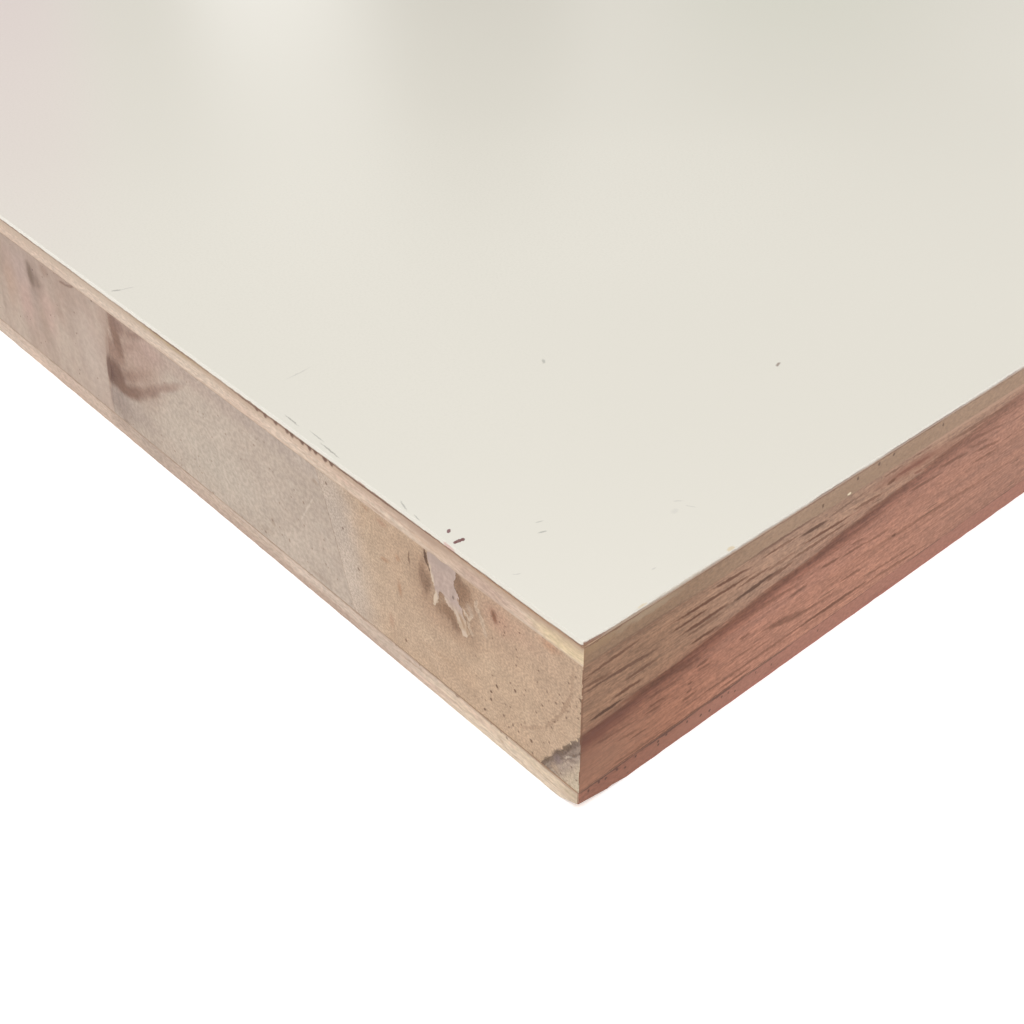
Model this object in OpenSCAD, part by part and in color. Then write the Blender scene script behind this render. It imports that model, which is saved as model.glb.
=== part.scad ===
// Blockboard sheet: a core of glued wood strips between two veneers, with a
// thin laminate on its face.
//
// The strips run along X. The origin is at the centre of the underside.

/* [Sheet] */
// Length of the sheet, along the core strips
sheet_length = 2440; // [600:10:3050]
// Width of the sheet, across the core strips
sheet_width = 1220; // [400:10:1525]

/* [Layers] */
// Thickness of the laminate on the face
laminate_thickness = 0.5; // [0.3:0.1:1.5]
// Thickness of the veneer under the laminate
face_veneer_thickness = 1.9; // [0.6:0.1:4]
// Thickness of the core strips
core_thickness = 13.5; // [8:0.5:30]
// Thickness of the veneer on the back
back_veneer_thickness = 2.1; // [0.6:0.1:4]

/* [Core strips] */
// Width of a core strip, before it is varied
strip_width = 38; // [30:1:60]
// Most that a strip is wider or narrower than that
strip_width_spread = 3; // [0:0.5:6]
// Width of the first strip, which is cut down with the sheet's edge
first_strip_width = 30.7; // [15:0.1:60]
// Narrowest last strip: a narrower one is one with its neighbour
narrowest_last_strip = 12; // [8:1:30]
// Most that a glue joint leans sideways from the core's bottom to its top
joint_lean = 4; // [0:0.5:6]

/* [Worn corner] */
// Height that is worn off the back veneer at the corner
wear_height = 0.9; // [0.2:0.1:2]
// Reach of the wear along the long edge
wear_along = 8; // [1:0.5:20]
// Reach of the wear along the end
wear_across = 2.5; // [1:0.5:10]

/* [Hidden] */
// Each strip's share of the width spread, and each joint's share of the lean,
// both repeated across the sheet
WIDTH_SHARES = [0.3, -0.8, 1, -0.6, 0.2, -1, 0.7, -0.8];
LEAN_SHARES = [1, -0.7, 0.3, -0.5, 0.8, -0.2, 0.4];

// Heights of the glue lines
core_bottom = back_veneer_thickness;
core_top = core_bottom + core_thickness;
face_veneer_top = core_top + face_veneer_thickness;

// Places of the joints between strips, from the sheet's first long edge, at
// half the core's height
last_joint_limit = sheet_width - narrowest_last_strip;
joints = joints_from(0, first_strip_width);
strip_count = len(joints) + 1;

STRIPS = [for (number = [1:strip_count]) str("core_strip_", two_digits(number))];

laminate_color = "#ECE8DD";
veneer_color = "#DABFA8";
strip_colors = ["#BB9F86", "#C1B09F", "#AF998A"];

function two_digits(number) = number < 10 ? str("0", number) : str(number);

// Width of the strip after the joint with this index
function width_after(index) =
    strip_width + strip_width_spread * WIDTH_SHARES[index % len(WIDTH_SHARES)];

// The joints from this index on, the first of which is at y
function joints_from(index, y) =
    y > last_joint_limit ? [] : concat([y], joints_from(index + 1, y + width_after(index)));

// Sideways shift of a joint at the core's top. At its bottom it is opposite.
function lean_of(index) = joint_lean / 2 * LEAN_SHARES[index % len(LEAN_SHARES)];

// Boundaries of the core's strips in order: [y at the bottom, y at the top]
strip_bounds = concat(
    [[0, 0]],
    [for (index = [0:strip_count - 2])
        [joints[index] - lean_of(index), joints[index] + lean_of(index)]],
    [[sheet_width, sheet_width]]
);

// A sheet as long and as wide as the board
module layer(bottom, thickness) {
    translate([-sheet_length / 2, -sheet_width / 2, bottom])
        cube([sheet_length, sheet_width, thickness]);
}

module face_laminate() {
    color(laminate_color)
        layer(face_veneer_top, laminate_thickness);
}

module face_veneer() {
    color(veneer_color)
        layer(core_top, face_veneer_thickness);
}

// One strip, counted from 0. Its sides lean with its glue joints.
module core_strip(index) {
    near = strip_bounds[index];
    far = strip_bounds[index + 1];
    color(strip_colors[index % len(strip_colors)])
        translate([-sheet_length / 2, -sheet_width / 2, 0])
            rotate([90, 0, 90])
                linear_extrude(sheet_length)
                    polygon([
                        [near[0], core_bottom],
                        [far[0], core_bottom],
                        [far[1], core_top],
                        [near[1], core_top]
                    ]);
}

// Everything below the slanting plane that the wear has left at the corner of
// the underside. The plane cuts the corner's three edges at the wear's sizes.
module worn_away() {
    reach = 4 * (wear_along + wear_across + wear_height);
    slope = [1 / wear_along, 1 / wear_across, 1 / wear_height];
    azimuth = atan2(slope[1], slope[0]);
    tilt = acos(slope[2] / norm(slope));
    translate([-sheet_length / 2, -sheet_width / 2, wear_height])
        rotate([0, tilt, azimuth])
            translate([-reach / 2, -reach / 2, -reach])
                cube(reach);
}

module back_veneer() {
    color(veneer_color)
        difference() {
            layer(0, back_veneer_thickness);
            worn_away();
        }
}

face_laminate();
face_veneer();
for (index = [0:strip_count - 1])
    core_strip(index);
back_veneer();
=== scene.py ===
"""Looks of a blockboard sheet: white laminate, two veneers and a core of glued wood strips.

Places on the sheet are given in its own millimetre frame, whose origin is the near corner of the underside:
a runs along the core strips, b across them and h up. Meshes are made in metres, along the frame's axes.
"""

import logging
import math
import random
from dataclasses import dataclass, field
from enum import Enum
from typing import Any, Callable

import bmesh
import bpy
from mathutils import Matrix, Vector


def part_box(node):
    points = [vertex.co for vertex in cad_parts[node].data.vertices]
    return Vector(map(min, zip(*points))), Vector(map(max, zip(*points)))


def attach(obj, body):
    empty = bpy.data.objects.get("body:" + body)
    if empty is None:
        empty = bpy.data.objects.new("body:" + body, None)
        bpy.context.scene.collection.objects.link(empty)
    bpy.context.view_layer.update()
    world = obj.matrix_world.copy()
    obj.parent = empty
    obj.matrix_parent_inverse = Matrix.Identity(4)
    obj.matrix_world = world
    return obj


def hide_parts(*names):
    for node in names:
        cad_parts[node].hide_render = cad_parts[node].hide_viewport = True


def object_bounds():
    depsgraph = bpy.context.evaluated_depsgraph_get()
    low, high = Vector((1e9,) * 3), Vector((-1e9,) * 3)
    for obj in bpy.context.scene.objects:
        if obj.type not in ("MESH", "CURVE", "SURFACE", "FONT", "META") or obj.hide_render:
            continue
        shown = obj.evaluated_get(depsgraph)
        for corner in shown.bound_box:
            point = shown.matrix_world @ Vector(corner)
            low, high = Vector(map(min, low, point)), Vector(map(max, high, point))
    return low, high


MM = 0.001
BODY = "root"
MERGE_MM = 0.002
ON_PLANE_MM = 0.01
BISECT_M = 1e-7
SMOOTH_UNDER_DEG = 16.0
# A point nearer to a side than this belongs to it, and one this near to both narrow sides to their arris.
NEAR_SIDE_MM = 0.2
NEAR_ARRIS_MM = 0.3
# An edge longer than this runs along a side, and one higher than this stands upright.
LONG_EDGE_MM = 5.0
HIGH_EDGE_MM = 1.0
# How much of a face's direction lies along an axis: along b for long grain, along a for an end, and what is
# too little or too much for a slanted face.
LONG_GRAIN_OVER = 0.7
END_OVER = 0.9
SLANT = (0.05, 0.95)
CUT_PORE = "#633D2B"
CUT_PORE_DARK = "#4F3021"
SOFTLY = {"interpolation_type": "SMOOTHSTEP"}
RGB = {"data_type": "RGBA"}
log = logging.getLogger("blockboard")


class Face(Enum):
    """A side of the sheet: the axis that it faces along, and the sense in which a turn on it is counted."""

    END = (0, 1.0)
    LONG = (1, -1.0)
    TOP = (2, 1.0)

    @property
    def axis(self) -> int:
        """The number of the axis that it faces along."""
        return self.value[0]


NARROW = (Face.END, Face.LONG)
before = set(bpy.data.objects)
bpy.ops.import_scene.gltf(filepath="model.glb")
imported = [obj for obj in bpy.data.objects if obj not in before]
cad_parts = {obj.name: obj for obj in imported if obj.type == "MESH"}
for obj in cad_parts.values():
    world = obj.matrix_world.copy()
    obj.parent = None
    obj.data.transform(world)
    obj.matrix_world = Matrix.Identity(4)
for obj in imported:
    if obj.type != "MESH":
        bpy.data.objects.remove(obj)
CAD_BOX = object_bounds()


@dataclass(frozen=True)
class Sheet:
    """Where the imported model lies, and how its own millimetre frame sits in the scene."""

    low: Vector
    high: Vector

    @property
    def offset_mm(self) -> Vector:
        """What turns the scene's millimetres to the sheet's own."""
        return -self.low / MM

    def size(self, axis: int) -> float:
        """Its size along an axis, in mm."""
        return (self.high[axis] - self.low[axis]) / MM

    def height(self, node: str, side: int) -> float:
        """Height of a node's underside (side 0) or top (side 1), in mm."""
        return (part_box(node)[side].z - self.low.z) / MM

    def point(self, a: float, b: float, h: float) -> Vector:
        """A point of the sheet's own frame, in the scene's metres."""
        return self.low + Vector((a, b, h)) * MM


SHEET = Sheet(*(Vector(corner) for corner in CAD_BOX))
STRIPS = sorted(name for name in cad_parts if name.startswith("core_strip_"))


# -----------------------------------------------------------------------------
# Nodes and colours
# -----------------------------------------------------------------------------


def linear(color: str) -> tuple[float, float, float, float]:
    """Turns an sRGB hex colour to linear RGBA.

    Args:
        color: A # and six hex digits.

    Returns:
        The colour as a shader socket takes it.
    """
    parts = [int(color[start : start + 2], 16) / 255 for start in (1, 3, 5)]
    red, green, blue = [p / 12.92 if p <= 0.04045 else ((p + 0.055) / 1.055) ** 2.4 for p in parts]
    return (red, green, blue, 1.0)


def add_node(
    tree: bpy.types.NodeTree, kind: str, sockets: dict[Any, Any], out: int | str = 0, **settings: Any
) -> Any:
    """Adds a node, sets it up and fills or links its inputs.

    Args:
        tree: The node tree that gets the node.
        kind: The node's type, without ShaderNode in front of it.
        sockets: What each input takes, by name or index: a value, a hex colour or another node's output.
        out: Name or index of the output that is wanted.
        **settings: The node's own properties.

    Returns:
        The wanted output socket, or nothing for a node without outputs.
    """
    node = tree.nodes.new("ShaderNode" + kind)
    for name, value in settings.items():
        setattr(node, name, value)
    for key, value in sockets.items():
        if isinstance(value, bpy.types.NodeSocket):
            tree.links.new(value, node.inputs[key])
        else:
            node.inputs[key].default_value = linear(value) if isinstance(value, str) else value
    return node.outputs[out] if len(node.outputs) else None


@dataclass(frozen=True)
class Spot:
    """A stain, pore, line or mark: an ellipse on one face of the sheet.

    Attributes:
        u: Its centre along the face's first direction, in mm: b on an end, a on a long side and on the top.
        v: Its centre along the second one: h on an end and a long side, b on the top.
        half_u: Its half size along the first direction before it is turned, to where its edge is half faded.
        half_v: Its half size along the second one.
        color: Its colour.
        share: How much of the ground's colour it takes over at its middle.
        soft: How far its edge fades, as a share of the half size.
        turn: Its turn in degrees, from the first direction towards the second.
        ragged: How far noise pushes its outline about, in mm.
    """

    u: float
    v: float
    half_u: float
    half_v: float
    color: str
    share: float = 0.6
    soft: float = 1.0
    turn: float = 0.0
    ragged: float = 0.3


def spots(*rows: tuple[Any, ...]) -> tuple[Spot, ...]:
    """Makes a spot from each row of a Spot's fields, in their order."""
    return tuple(Spot(*row) for row in rows)


def dash(
    u: float, v: float, to_u: float, to_v: float, thick: float, share: float = 0.85, color: str = CUT_PORE
) -> Spot:
    """Makes the spot for a cut pore or a thin line between two places.

    Args:
        u: Its start along the face's first direction, in mm.
        v: Its start along the second one.
        to_u: Its end along the first direction.
        to_v: Its end along the second one.
        thick: Its full thickness, in mm.
        share: How much of the ground's colour it takes over.
        color: Its colour.

    Returns:
        The spot.
    """
    run, rise = to_u - u, to_v - v
    half, turn = math.hypot(run, rise) / 2, math.degrees(math.atan2(rise, run))
    return Spot((u + to_u) / 2, (v + to_v) / 2, half, thick / 2 + 0.035, color, share, 0.5, turn, 0.12)


def dashes(*rows: tuple[Any, ...]) -> tuple[Spot, ...]:
    """Makes a cut pore or thin line from each row of what dash takes, in that order."""
    return tuple(dash(*row) for row in rows)


def dots(radius: float, color: str, share: float, *places: tuple[float, float]) -> tuple[Spot, ...]:
    """Makes the spots for a few open pores.

    Args:
        radius: Their radius, in mm.
        color: Their colour.
        share: How much of the ground's colour they take over.
        *places: Their centres, in mm on their face.

    Returns:
        The spots.
    """
    return tuple(Spot(u, v, radius, 1.2 * radius, color, share, 0.6, 0, 0.1) for u, v in places)


@dataclass
class Shading:
    """The node tree of one material, with the sheet's own coordinates ready in it.

    Attributes:
        name: The material's name.
        material: The material.
        tree: Its node tree.
        place: The place on the sheet, in mm.
        sides: The place's three numbers a, b and h.
        facing: The three numbers of the surface's direction, each without its sign.
    """

    name: str
    material: bpy.types.Material = field(init=False)
    tree: bpy.types.NodeTree = field(init=False)
    place: Any = field(init=False)
    sides: tuple[Any, ...] = field(init=False)
    facing: tuple[Any, ...] = field(init=False)

    def __post_init__(self) -> None:
        """Makes the material, and the sockets that hold the place and the direction of the surface."""
        self.material = bpy.data.materials.new(self.name)
        self.material.use_nodes = True
        self.tree = self.material.node_tree
        self.tree.nodes.clear()
        here = self.add("TexCoord", {}, "Object")
        in_mm = {0: here, "Location": SHEET.offset_mm, "Scale": (1 / MM,) * 3}
        self.place = self.add("Mapping", in_mm, vector_type="POINT")
        self.sides = tuple(self.add("SeparateXYZ", {0: self.place}).node.outputs)
        normal = self.add("VectorMath", {0: here.node.outputs["Normal"]}, operation="ABSOLUTE")
        self.facing = tuple(self.add("SeparateXYZ", {0: normal}).node.outputs)

    def add(self, kind: str, sockets: dict[Any, Any], out: int | str = 0, **settings: Any) -> Any:
        """Adds a node to this material, as add_node does."""
        return add_node(self.tree, kind, sockets, out, **settings)

    def cells(self, cell: tuple[float, float, float], shift: float = 0.0) -> Any:
        """Counts the place in cells of a real size.

        Args:
            cell: Their size along a, b and h, in mm.
            shift: A move in cells, so that two patterns differ.

        Returns:
            The socket of the place in cells.
        """
        sockets = {0: self.place, "Location": (shift,) * 3, "Scale": tuple(1 / side for side in cell)}
        return self.add("Mapping", sockets, vector_type="POINT")

    def lumps(self, cell: tuple[float, float, float], shift: float = 0.0, detail: float = 2.0) -> Any:
        """Makes a cloudy pattern whose lumps have a real size.

        Args:
            cell: The lumps' size along a, b and h, in mm.
            shift: A move of the pattern, in lumps, so that two patterns differ.
            detail: How many finer layers it has.

        Returns:
            The socket of a value around 0.5.
        """
        sockets = {0: self.cells(cell, shift), "Scale": 1.0, "Detail": detail, "Roughness": 0.6}
        return self.add("TexNoise", sockets)

    def flecks(self, cell: tuple[float, float, float], share: float, size: float, shift: float) -> Any:
        """Makes scattered flecks: some cells of a grid that is shaken about hold one, of random size.

        Args:
            cell: The cells' size along a, b and h, in mm.
            share: The share of the cells that hold one.
            size: The largest one's radius, in cells.
            shift: A move of the pattern, in cells.

        Returns:
            The socket of a value that is 1 in a fleck and 0 outside it.
        """
        distance = self.add("TexVoronoi", {0: self.cells(cell, shift), "Scale": 1.0})
        chance = self.add("SeparateColor", {0: distance.node.outputs["Color"]})
        radius = self.add("MapRange", {0: chance, 1: 1 - share, 2: 1.0, 4: size})
        inside = self.add("Math", {0: distance, 1: radius}, operation="SUBTRACT")
        return self.add("MapRange", {0: inside, 1: 0.0, 2: -0.06}, **SOFTLY)

    def tint(
        self,
        under: Any,
        over: Any,
        pattern: Any,
        start: float,
        full: float,
        strength: Any = 1.0,
        blend: str = "MIX",
    ) -> Any:
        """Lays one colour over another as a pattern's value goes from start to full.

        Args:
            under: The colour so far.
            over: The colour laid over it.
            pattern: The pattern's value.
            start: Where the new colour starts to show.
            full: Where it shows with its whole strength. It may be lower than start.
            strength: That strength, as a number or a socket.
            blend: How the colours are blended.

        Returns:
            The new colour's socket.
        """
        share = self.add("MapRange", {0: pattern, 1: start, 2: full, 4: strength}, **SOFTLY)
        return self.add("Mix", {0: share, 6: under, 7: over}, 2, blend_type=blend, **RGB)

    def on_face(self, under: Any, over: Any, face: Face, start: float = 0.6) -> Any:
        """Lays one colour over another on the sides that face along the same axis as a face."""
        return self.tint(under, over, self.facing[face.axis], start, 0.8)

    def mottle(self, under: Any, pattern: Any, strength: float, width: float = 0.2) -> Any:
        """Darkens a colour where a pattern is high and lightens it where it is low.

        Args:
            under: The colour so far.
            pattern: The pattern's value, around 0.5.
            strength: How strong both are.
            width: How far from the middle both are whole.

        Returns:
            The new colour's socket.
        """
        sockets = {0: pattern, 1: 0.5 - width, 2: 0.5 + width, 3: 1 + 0.5 * strength, 4: 1 - 0.7 * strength}
        shade = self.add("MapRange", sockets, **SOFTLY)
        return self.add("Mix", {0: 1.0, 6: under, 7: shade}, 2, blend_type="MULTIPLY", **RGB)

    def shaken(self, amount: float, lump: float) -> Any:
        """Pushes the place about with noise, so that what is drawn there is ragged.

        Args:
            amount: How far, in mm.
            lump: The size of the noise's lumps, in mm.

        Returns:
            The socket of the new place.
        """
        sockets = {0: self.cells((lump,) * 3), "Scale": 1.0, "Detail": 3.0, "Roughness": 0.65}
        centred = {0: self.add("TexNoise", sockets, "Color"), 1: (3 * amount,) * 3, 2: (-1.5 * amount,) * 3}
        push = self.add("VectorMath", centred, operation="MULTIPLY_ADD")
        return self.add("VectorMath", {0: self.place, 1: push}, operation="ADD")

    def paint(
        self, under: Any, face: Face, level: float, marks: tuple[Spot, ...], depth: float = 4.0
    ) -> Any:
        """Paints marks on a colour.

        Args:
            under: The colour so far.
            face: The side that the marks lie on.
            level: Where that side is along its own axis, in mm.
            marks: The marks, in the order in which they cover each other.
            depth: How far they reach into the sheet, in mm.

        Returns:
            The new colour's socket.
        """
        axis, sense = face.value
        places: dict[float, Any] = {}
        for spot in marks:
            if spot.ragged not in places:
                places[spot.ragged] = self.shaken(spot.ragged, 2.5 * spot.ragged + 0.2)
            centre, turn = [spot.u, spot.v], [0.0, 0.0, 0.0]
            radii = [half / (1 - spot.soft / 2) for half in (spot.half_u, spot.half_v)]
            centre.insert(axis, level)
            radii.insert(axis, depth)
            turn[axis] = sense * math.radians(spot.turn)
            sockets = {0: places[spot.ragged], "Location": centre, "Rotation": turn, "Scale": radii}
            where = self.add("Mapping", sockets, vector_type="TEXTURE")
            inside = self.add("TexGradient", {0: where}, "Fac", gradient_type="SPHERICAL")
            under = self.tint(under, spot.color, inside, 0.0, spot.soft, spot.share)
        return under

    def painted_corner_shade(self, under: Any) -> Any:
        """Darkens a long side towards the near corner with painted shade, strongest at the corner."""
        return self.tint(under, "#E2DACF", self.sides[0], 24.0, 7.0, 1.0, "MULTIPLY")

    def ramp(self, measure: Any, stops: tuple[tuple[float, str], ...]) -> Any:
        """Gives the colour that goes with a measure.

        Args:
            measure: The measure in mm.
            stops: Values of the measure and their colours, lowest first.

        Returns:
            The colour's socket.
        """
        low, high = stops[0][0], stops[-1][0]
        color = self.add("ValToRGB", {0: self.add("MapRange", {0: measure, 1: low, 2: high})})
        bar = color.node.color_ramp.elements
        while len(bar) < len(stops):
            bar.new(0.5)
        for element, (value, hex_color) in zip(bar, stops):
            element.position = (value - low) / (high - low)
            element.color = linear(hex_color)
        return color

    def finish(
        self, color: Any, roughness: float, relief: Any, relief_mm: float, level: float, glow: float = 0.0
    ) -> bpy.types.Material:
        """Puts the shader together.

        Args:
            color: The base colour.
            roughness: How matt the surface is.
            relief: The relief's value, from 0 to 1.
            relief_mm: How high the relief is, in mm.
            level: The specular level; 0.5 is a closed finish, and raw wood has less.
            glow: How strongly white light comes through it, as on a light table.

        Returns:
            The material.
        """
        normal = self.add("Bump", {"Height": relief, "Distance": relief_mm * MM, "Strength": 1.0})
        sockets = {
            "Base Color": color,
            "Roughness": roughness,
            "Normal": normal,
            "Specular IOR Level": level,
            "Emission Color": "#FFFFFF",
            "Emission Strength": glow,
        }
        self.add("OutputMaterial", {"Surface": self.add("BsdfPrincipled", sockets)})
        return self.material


# -----------------------------------------------------------------------------
# Finishes
# -----------------------------------------------------------------------------


@dataclass(frozen=True)
class LaminateFinish:
    """Decorative high-pressure laminate: melamine-faced paper, pressed against a fine satin plate.

    It gives an even warm white with a satin sheen, a fine texture and a few small marks. Its sawn edge
    shows the brown backing paper in places just above the glue.
    """

    white: str = "#D9D5CA"
    shade: str = "#D6D2C7"
    edge: str = "#D4CFC3"
    backing: str = "#75533F"
    glue: str = "#987D66"
    roughness: float = 0.17
    peel_mm: float = 0.5
    grain_mm: float = 0.25
    marks: tuple[Spot, ...] = ()
    edge_marks: tuple[Spot, ...] = ()
    rim_marks: tuple[Spot, ...] = ()

    def edge_color(self, s: Shading, over: Any) -> Any:
        """Colours the sawn edge: white above, then the brown backing, which shows more on a long side.

        Args:
            s: The material's nodes.
            over: The white face's colour.

        Returns:
            The colour's socket.
        """
        base = SHEET.height("face_laminate", 0)
        color = s.tint(over, self.edge, s.sides[2], base + 0.5, base + 0.35)
        color = s.paint(color, Face.END, 0.0, self.edge_marks, 1.0)
        teeth = {0: s.lumps((0.8, 0.8, 50), 3.1), 1: 0.24, 2: s.sides[2]}
        jagged = s.add("Math", teeth, operation="MULTIPLY_ADD")
        stretches = s.lumps((9, 9, 90), 5.0)
        patchy = s.add("MapRange", {0: stretches, 1: 0.36, 2: 0.6, 3: 0.35, 4: 0.85}, **SOFTLY)
        end = s.tint(color, self.backing, jagged, base + 0.24, base + 0.16, patchy)
        side = s.tint(color, self.backing, jagged, base + 0.46, base + 0.38, patchy)
        side = s.tint(side, self.glue, jagged, base + 0.32, base + 0.22, 0.9)
        side = s.paint(side, Face.LONG, 0.0, self.rim_marks, 1.0)
        return s.on_face(end, side, Face.LONG)

    def material(self) -> bpy.types.Material:
        """Builds the material.

        Returns:
            The material.
        """
        s = Shading("high_pressure_laminate")
        color = s.tint(self.shade, self.white, s.lumps((90, 90, 90), 1.7), 0.35, 0.65)
        color = s.tint(color, self.shade, s.lumps((self.grain_mm,) * 3, 4.0), 0.45, 0.65)
        color = s.paint(color, Face.TOP, SHEET.height("face_laminate", 1), self.marks, 1.5)
        color = s.on_face(self.edge_color(s, color), color, Face.TOP, 0.5)
        return s.finish(color, self.roughness, s.lumps((self.peel_mm,) * 3, 0.0, 1.0), 0.002, 0.5)


@dataclass(frozen=True)
class VeneerFinish:
    """Rotary-peeled light hardwood veneer with a sawn edge.

    Its grain runs across the sheet, so its edge shows long fibres at an end and cut pores on a long side,
    and its broad face shows a soft figure that runs across the sheet, with a seam between its leaves.
    """

    name: str
    node: str
    fibre: str
    fibre_dark: str
    fibre_warm: str
    side: str
    side_dark: str
    pore: str
    flat: str
    flat_dark: str
    top: str
    top_mm: float
    top_share: float
    line: str
    side_line: str
    foot: str
    foot_share: float = 0.4
    end_spots: tuple[Spot, ...] = ()
    line_spots: tuple[Spot, ...] = ()
    side_spots: tuple[Spot, ...] = ()
    leaf_mm: float = 610.0
    seed: float = 0.0

    def end_color(self, s: Shading) -> Any:
        """Colours the edge at an end: fine fibres, 0.15 mm thick, in soft bands.

        Args:
            s: The material's nodes.

        Returns:
            The colour's socket.
        """
        color = s.tint(self.fibre, self.fibre_warm, s.lumps((30, 13, 0.9), self.seed + 2.2), 0.4, 0.68, 0.8)
        color = s.paint(color, Face.END, 0.0, self.end_spots)
        color = s.tint(color, self.fibre_dark, s.lumps((0.5, 5, 0.16), self.seed, 3.0), 0.6, 0.36, 0.3)
        return s.mottle(color, s.lumps((1, 0.8, 0.26), self.seed + 7.0, 3.0), 0.26)

    def side_color(self, s: Shading) -> Any:
        """Colours the edge on a long side: cut across, with pores 0.2 to 0.3 mm wide.

        Args:
            s: The material's nodes.

        Returns:
            The colour's socket.
        """
        color = s.tint(self.side, self.side_dark, s.lumps((7, 5, 0.8), self.seed + 5.0), 0.5, 0.78, 0.6)
        color = s.mottle(color, s.lumps((0.5, 3, 0.3), self.seed + 4.0, 3.0), 0.22)
        color = s.tint(color, self.pore, s.flecks((0.8, 9, 0.7), 0.3, 0.2, self.seed), 0.0, 1.0, 0.6)
        # Painted shade darkens the long side towards the near corner.
        return s.painted_corner_shade(s.paint(color, Face.LONG, 0.0, self.side_spots))

    def flat_color(self, s: Shading) -> Any:
        """Colours the broad faces: soft figure and fine pores across the sheet, and seams between leaves.

        Args:
            s: The material's nodes.

        Returns:
            The colour's socket.
        """
        color = s.tint(self.flat_dark, self.flat, s.lumps((34, 420, 30), self.seed + 1.0, 3.0), 0.3, 0.7)
        color = s.tint(color, self.flat_dark, s.lumps((1.6, 120, 30), self.seed + 9.0, 2.0), 0.65, 0.35, 0.3)
        leaf = s.add("Math", {0: s.sides[0], 1: self.leaf_mm}, operation="PINGPONG")
        return s.tint(color, self.line, leaf, 0.6, 0.15, 0.5)

    def material(self) -> bpy.types.Material:
        """Builds the material.

        Returns:
            The material.
        """
        s = Shading(self.name)
        bottom, top = SHEET.height(self.node, 0), SHEET.height(self.node, 1)
        teeth = {0: s.lumps((1.4, 1.4, 9), 6.0, 3.0), 1: 0.34, 2: s.sides[2]}
        jagged = s.add("Math", teeth, operation="MULTIPLY_ADD")
        jagged = s.add("Math", {0: jagged, 1: 0.17}, operation="SUBTRACT")
        stretches = s.lumps((6, 6, 60), self.seed + 8.0)
        broken = s.add("MapRange", {0: stretches, 1: 0.36, 2: 0.62, 3: 0.1, 4: 0.9}, **SOFTLY)
        end = s.tint(self.end_color(s), self.top, jagged, top - self.top_mm, top - 0.1, self.top_share)
        end = s.paint(end, Face.END, 0.0, self.line_spots)
        end = s.tint(end, self.line, jagged, top - 0.12, top - 0.04, broken)
        side = s.tint(self.side_color(s), self.side_line, jagged, top - 0.16, top - 0.04, broken)
        end = s.tint(end, self.foot, jagged, bottom + 0.26, bottom + 0.1, self.foot_share)
        color = s.on_face(s.on_face(side, end, Face.END), self.flat_color(s), Face.TOP)
        return s.finish(color, 0.62, s.lumps((0.25, 0.25, 0.16), self.seed), 0.03, 0.35)


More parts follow.
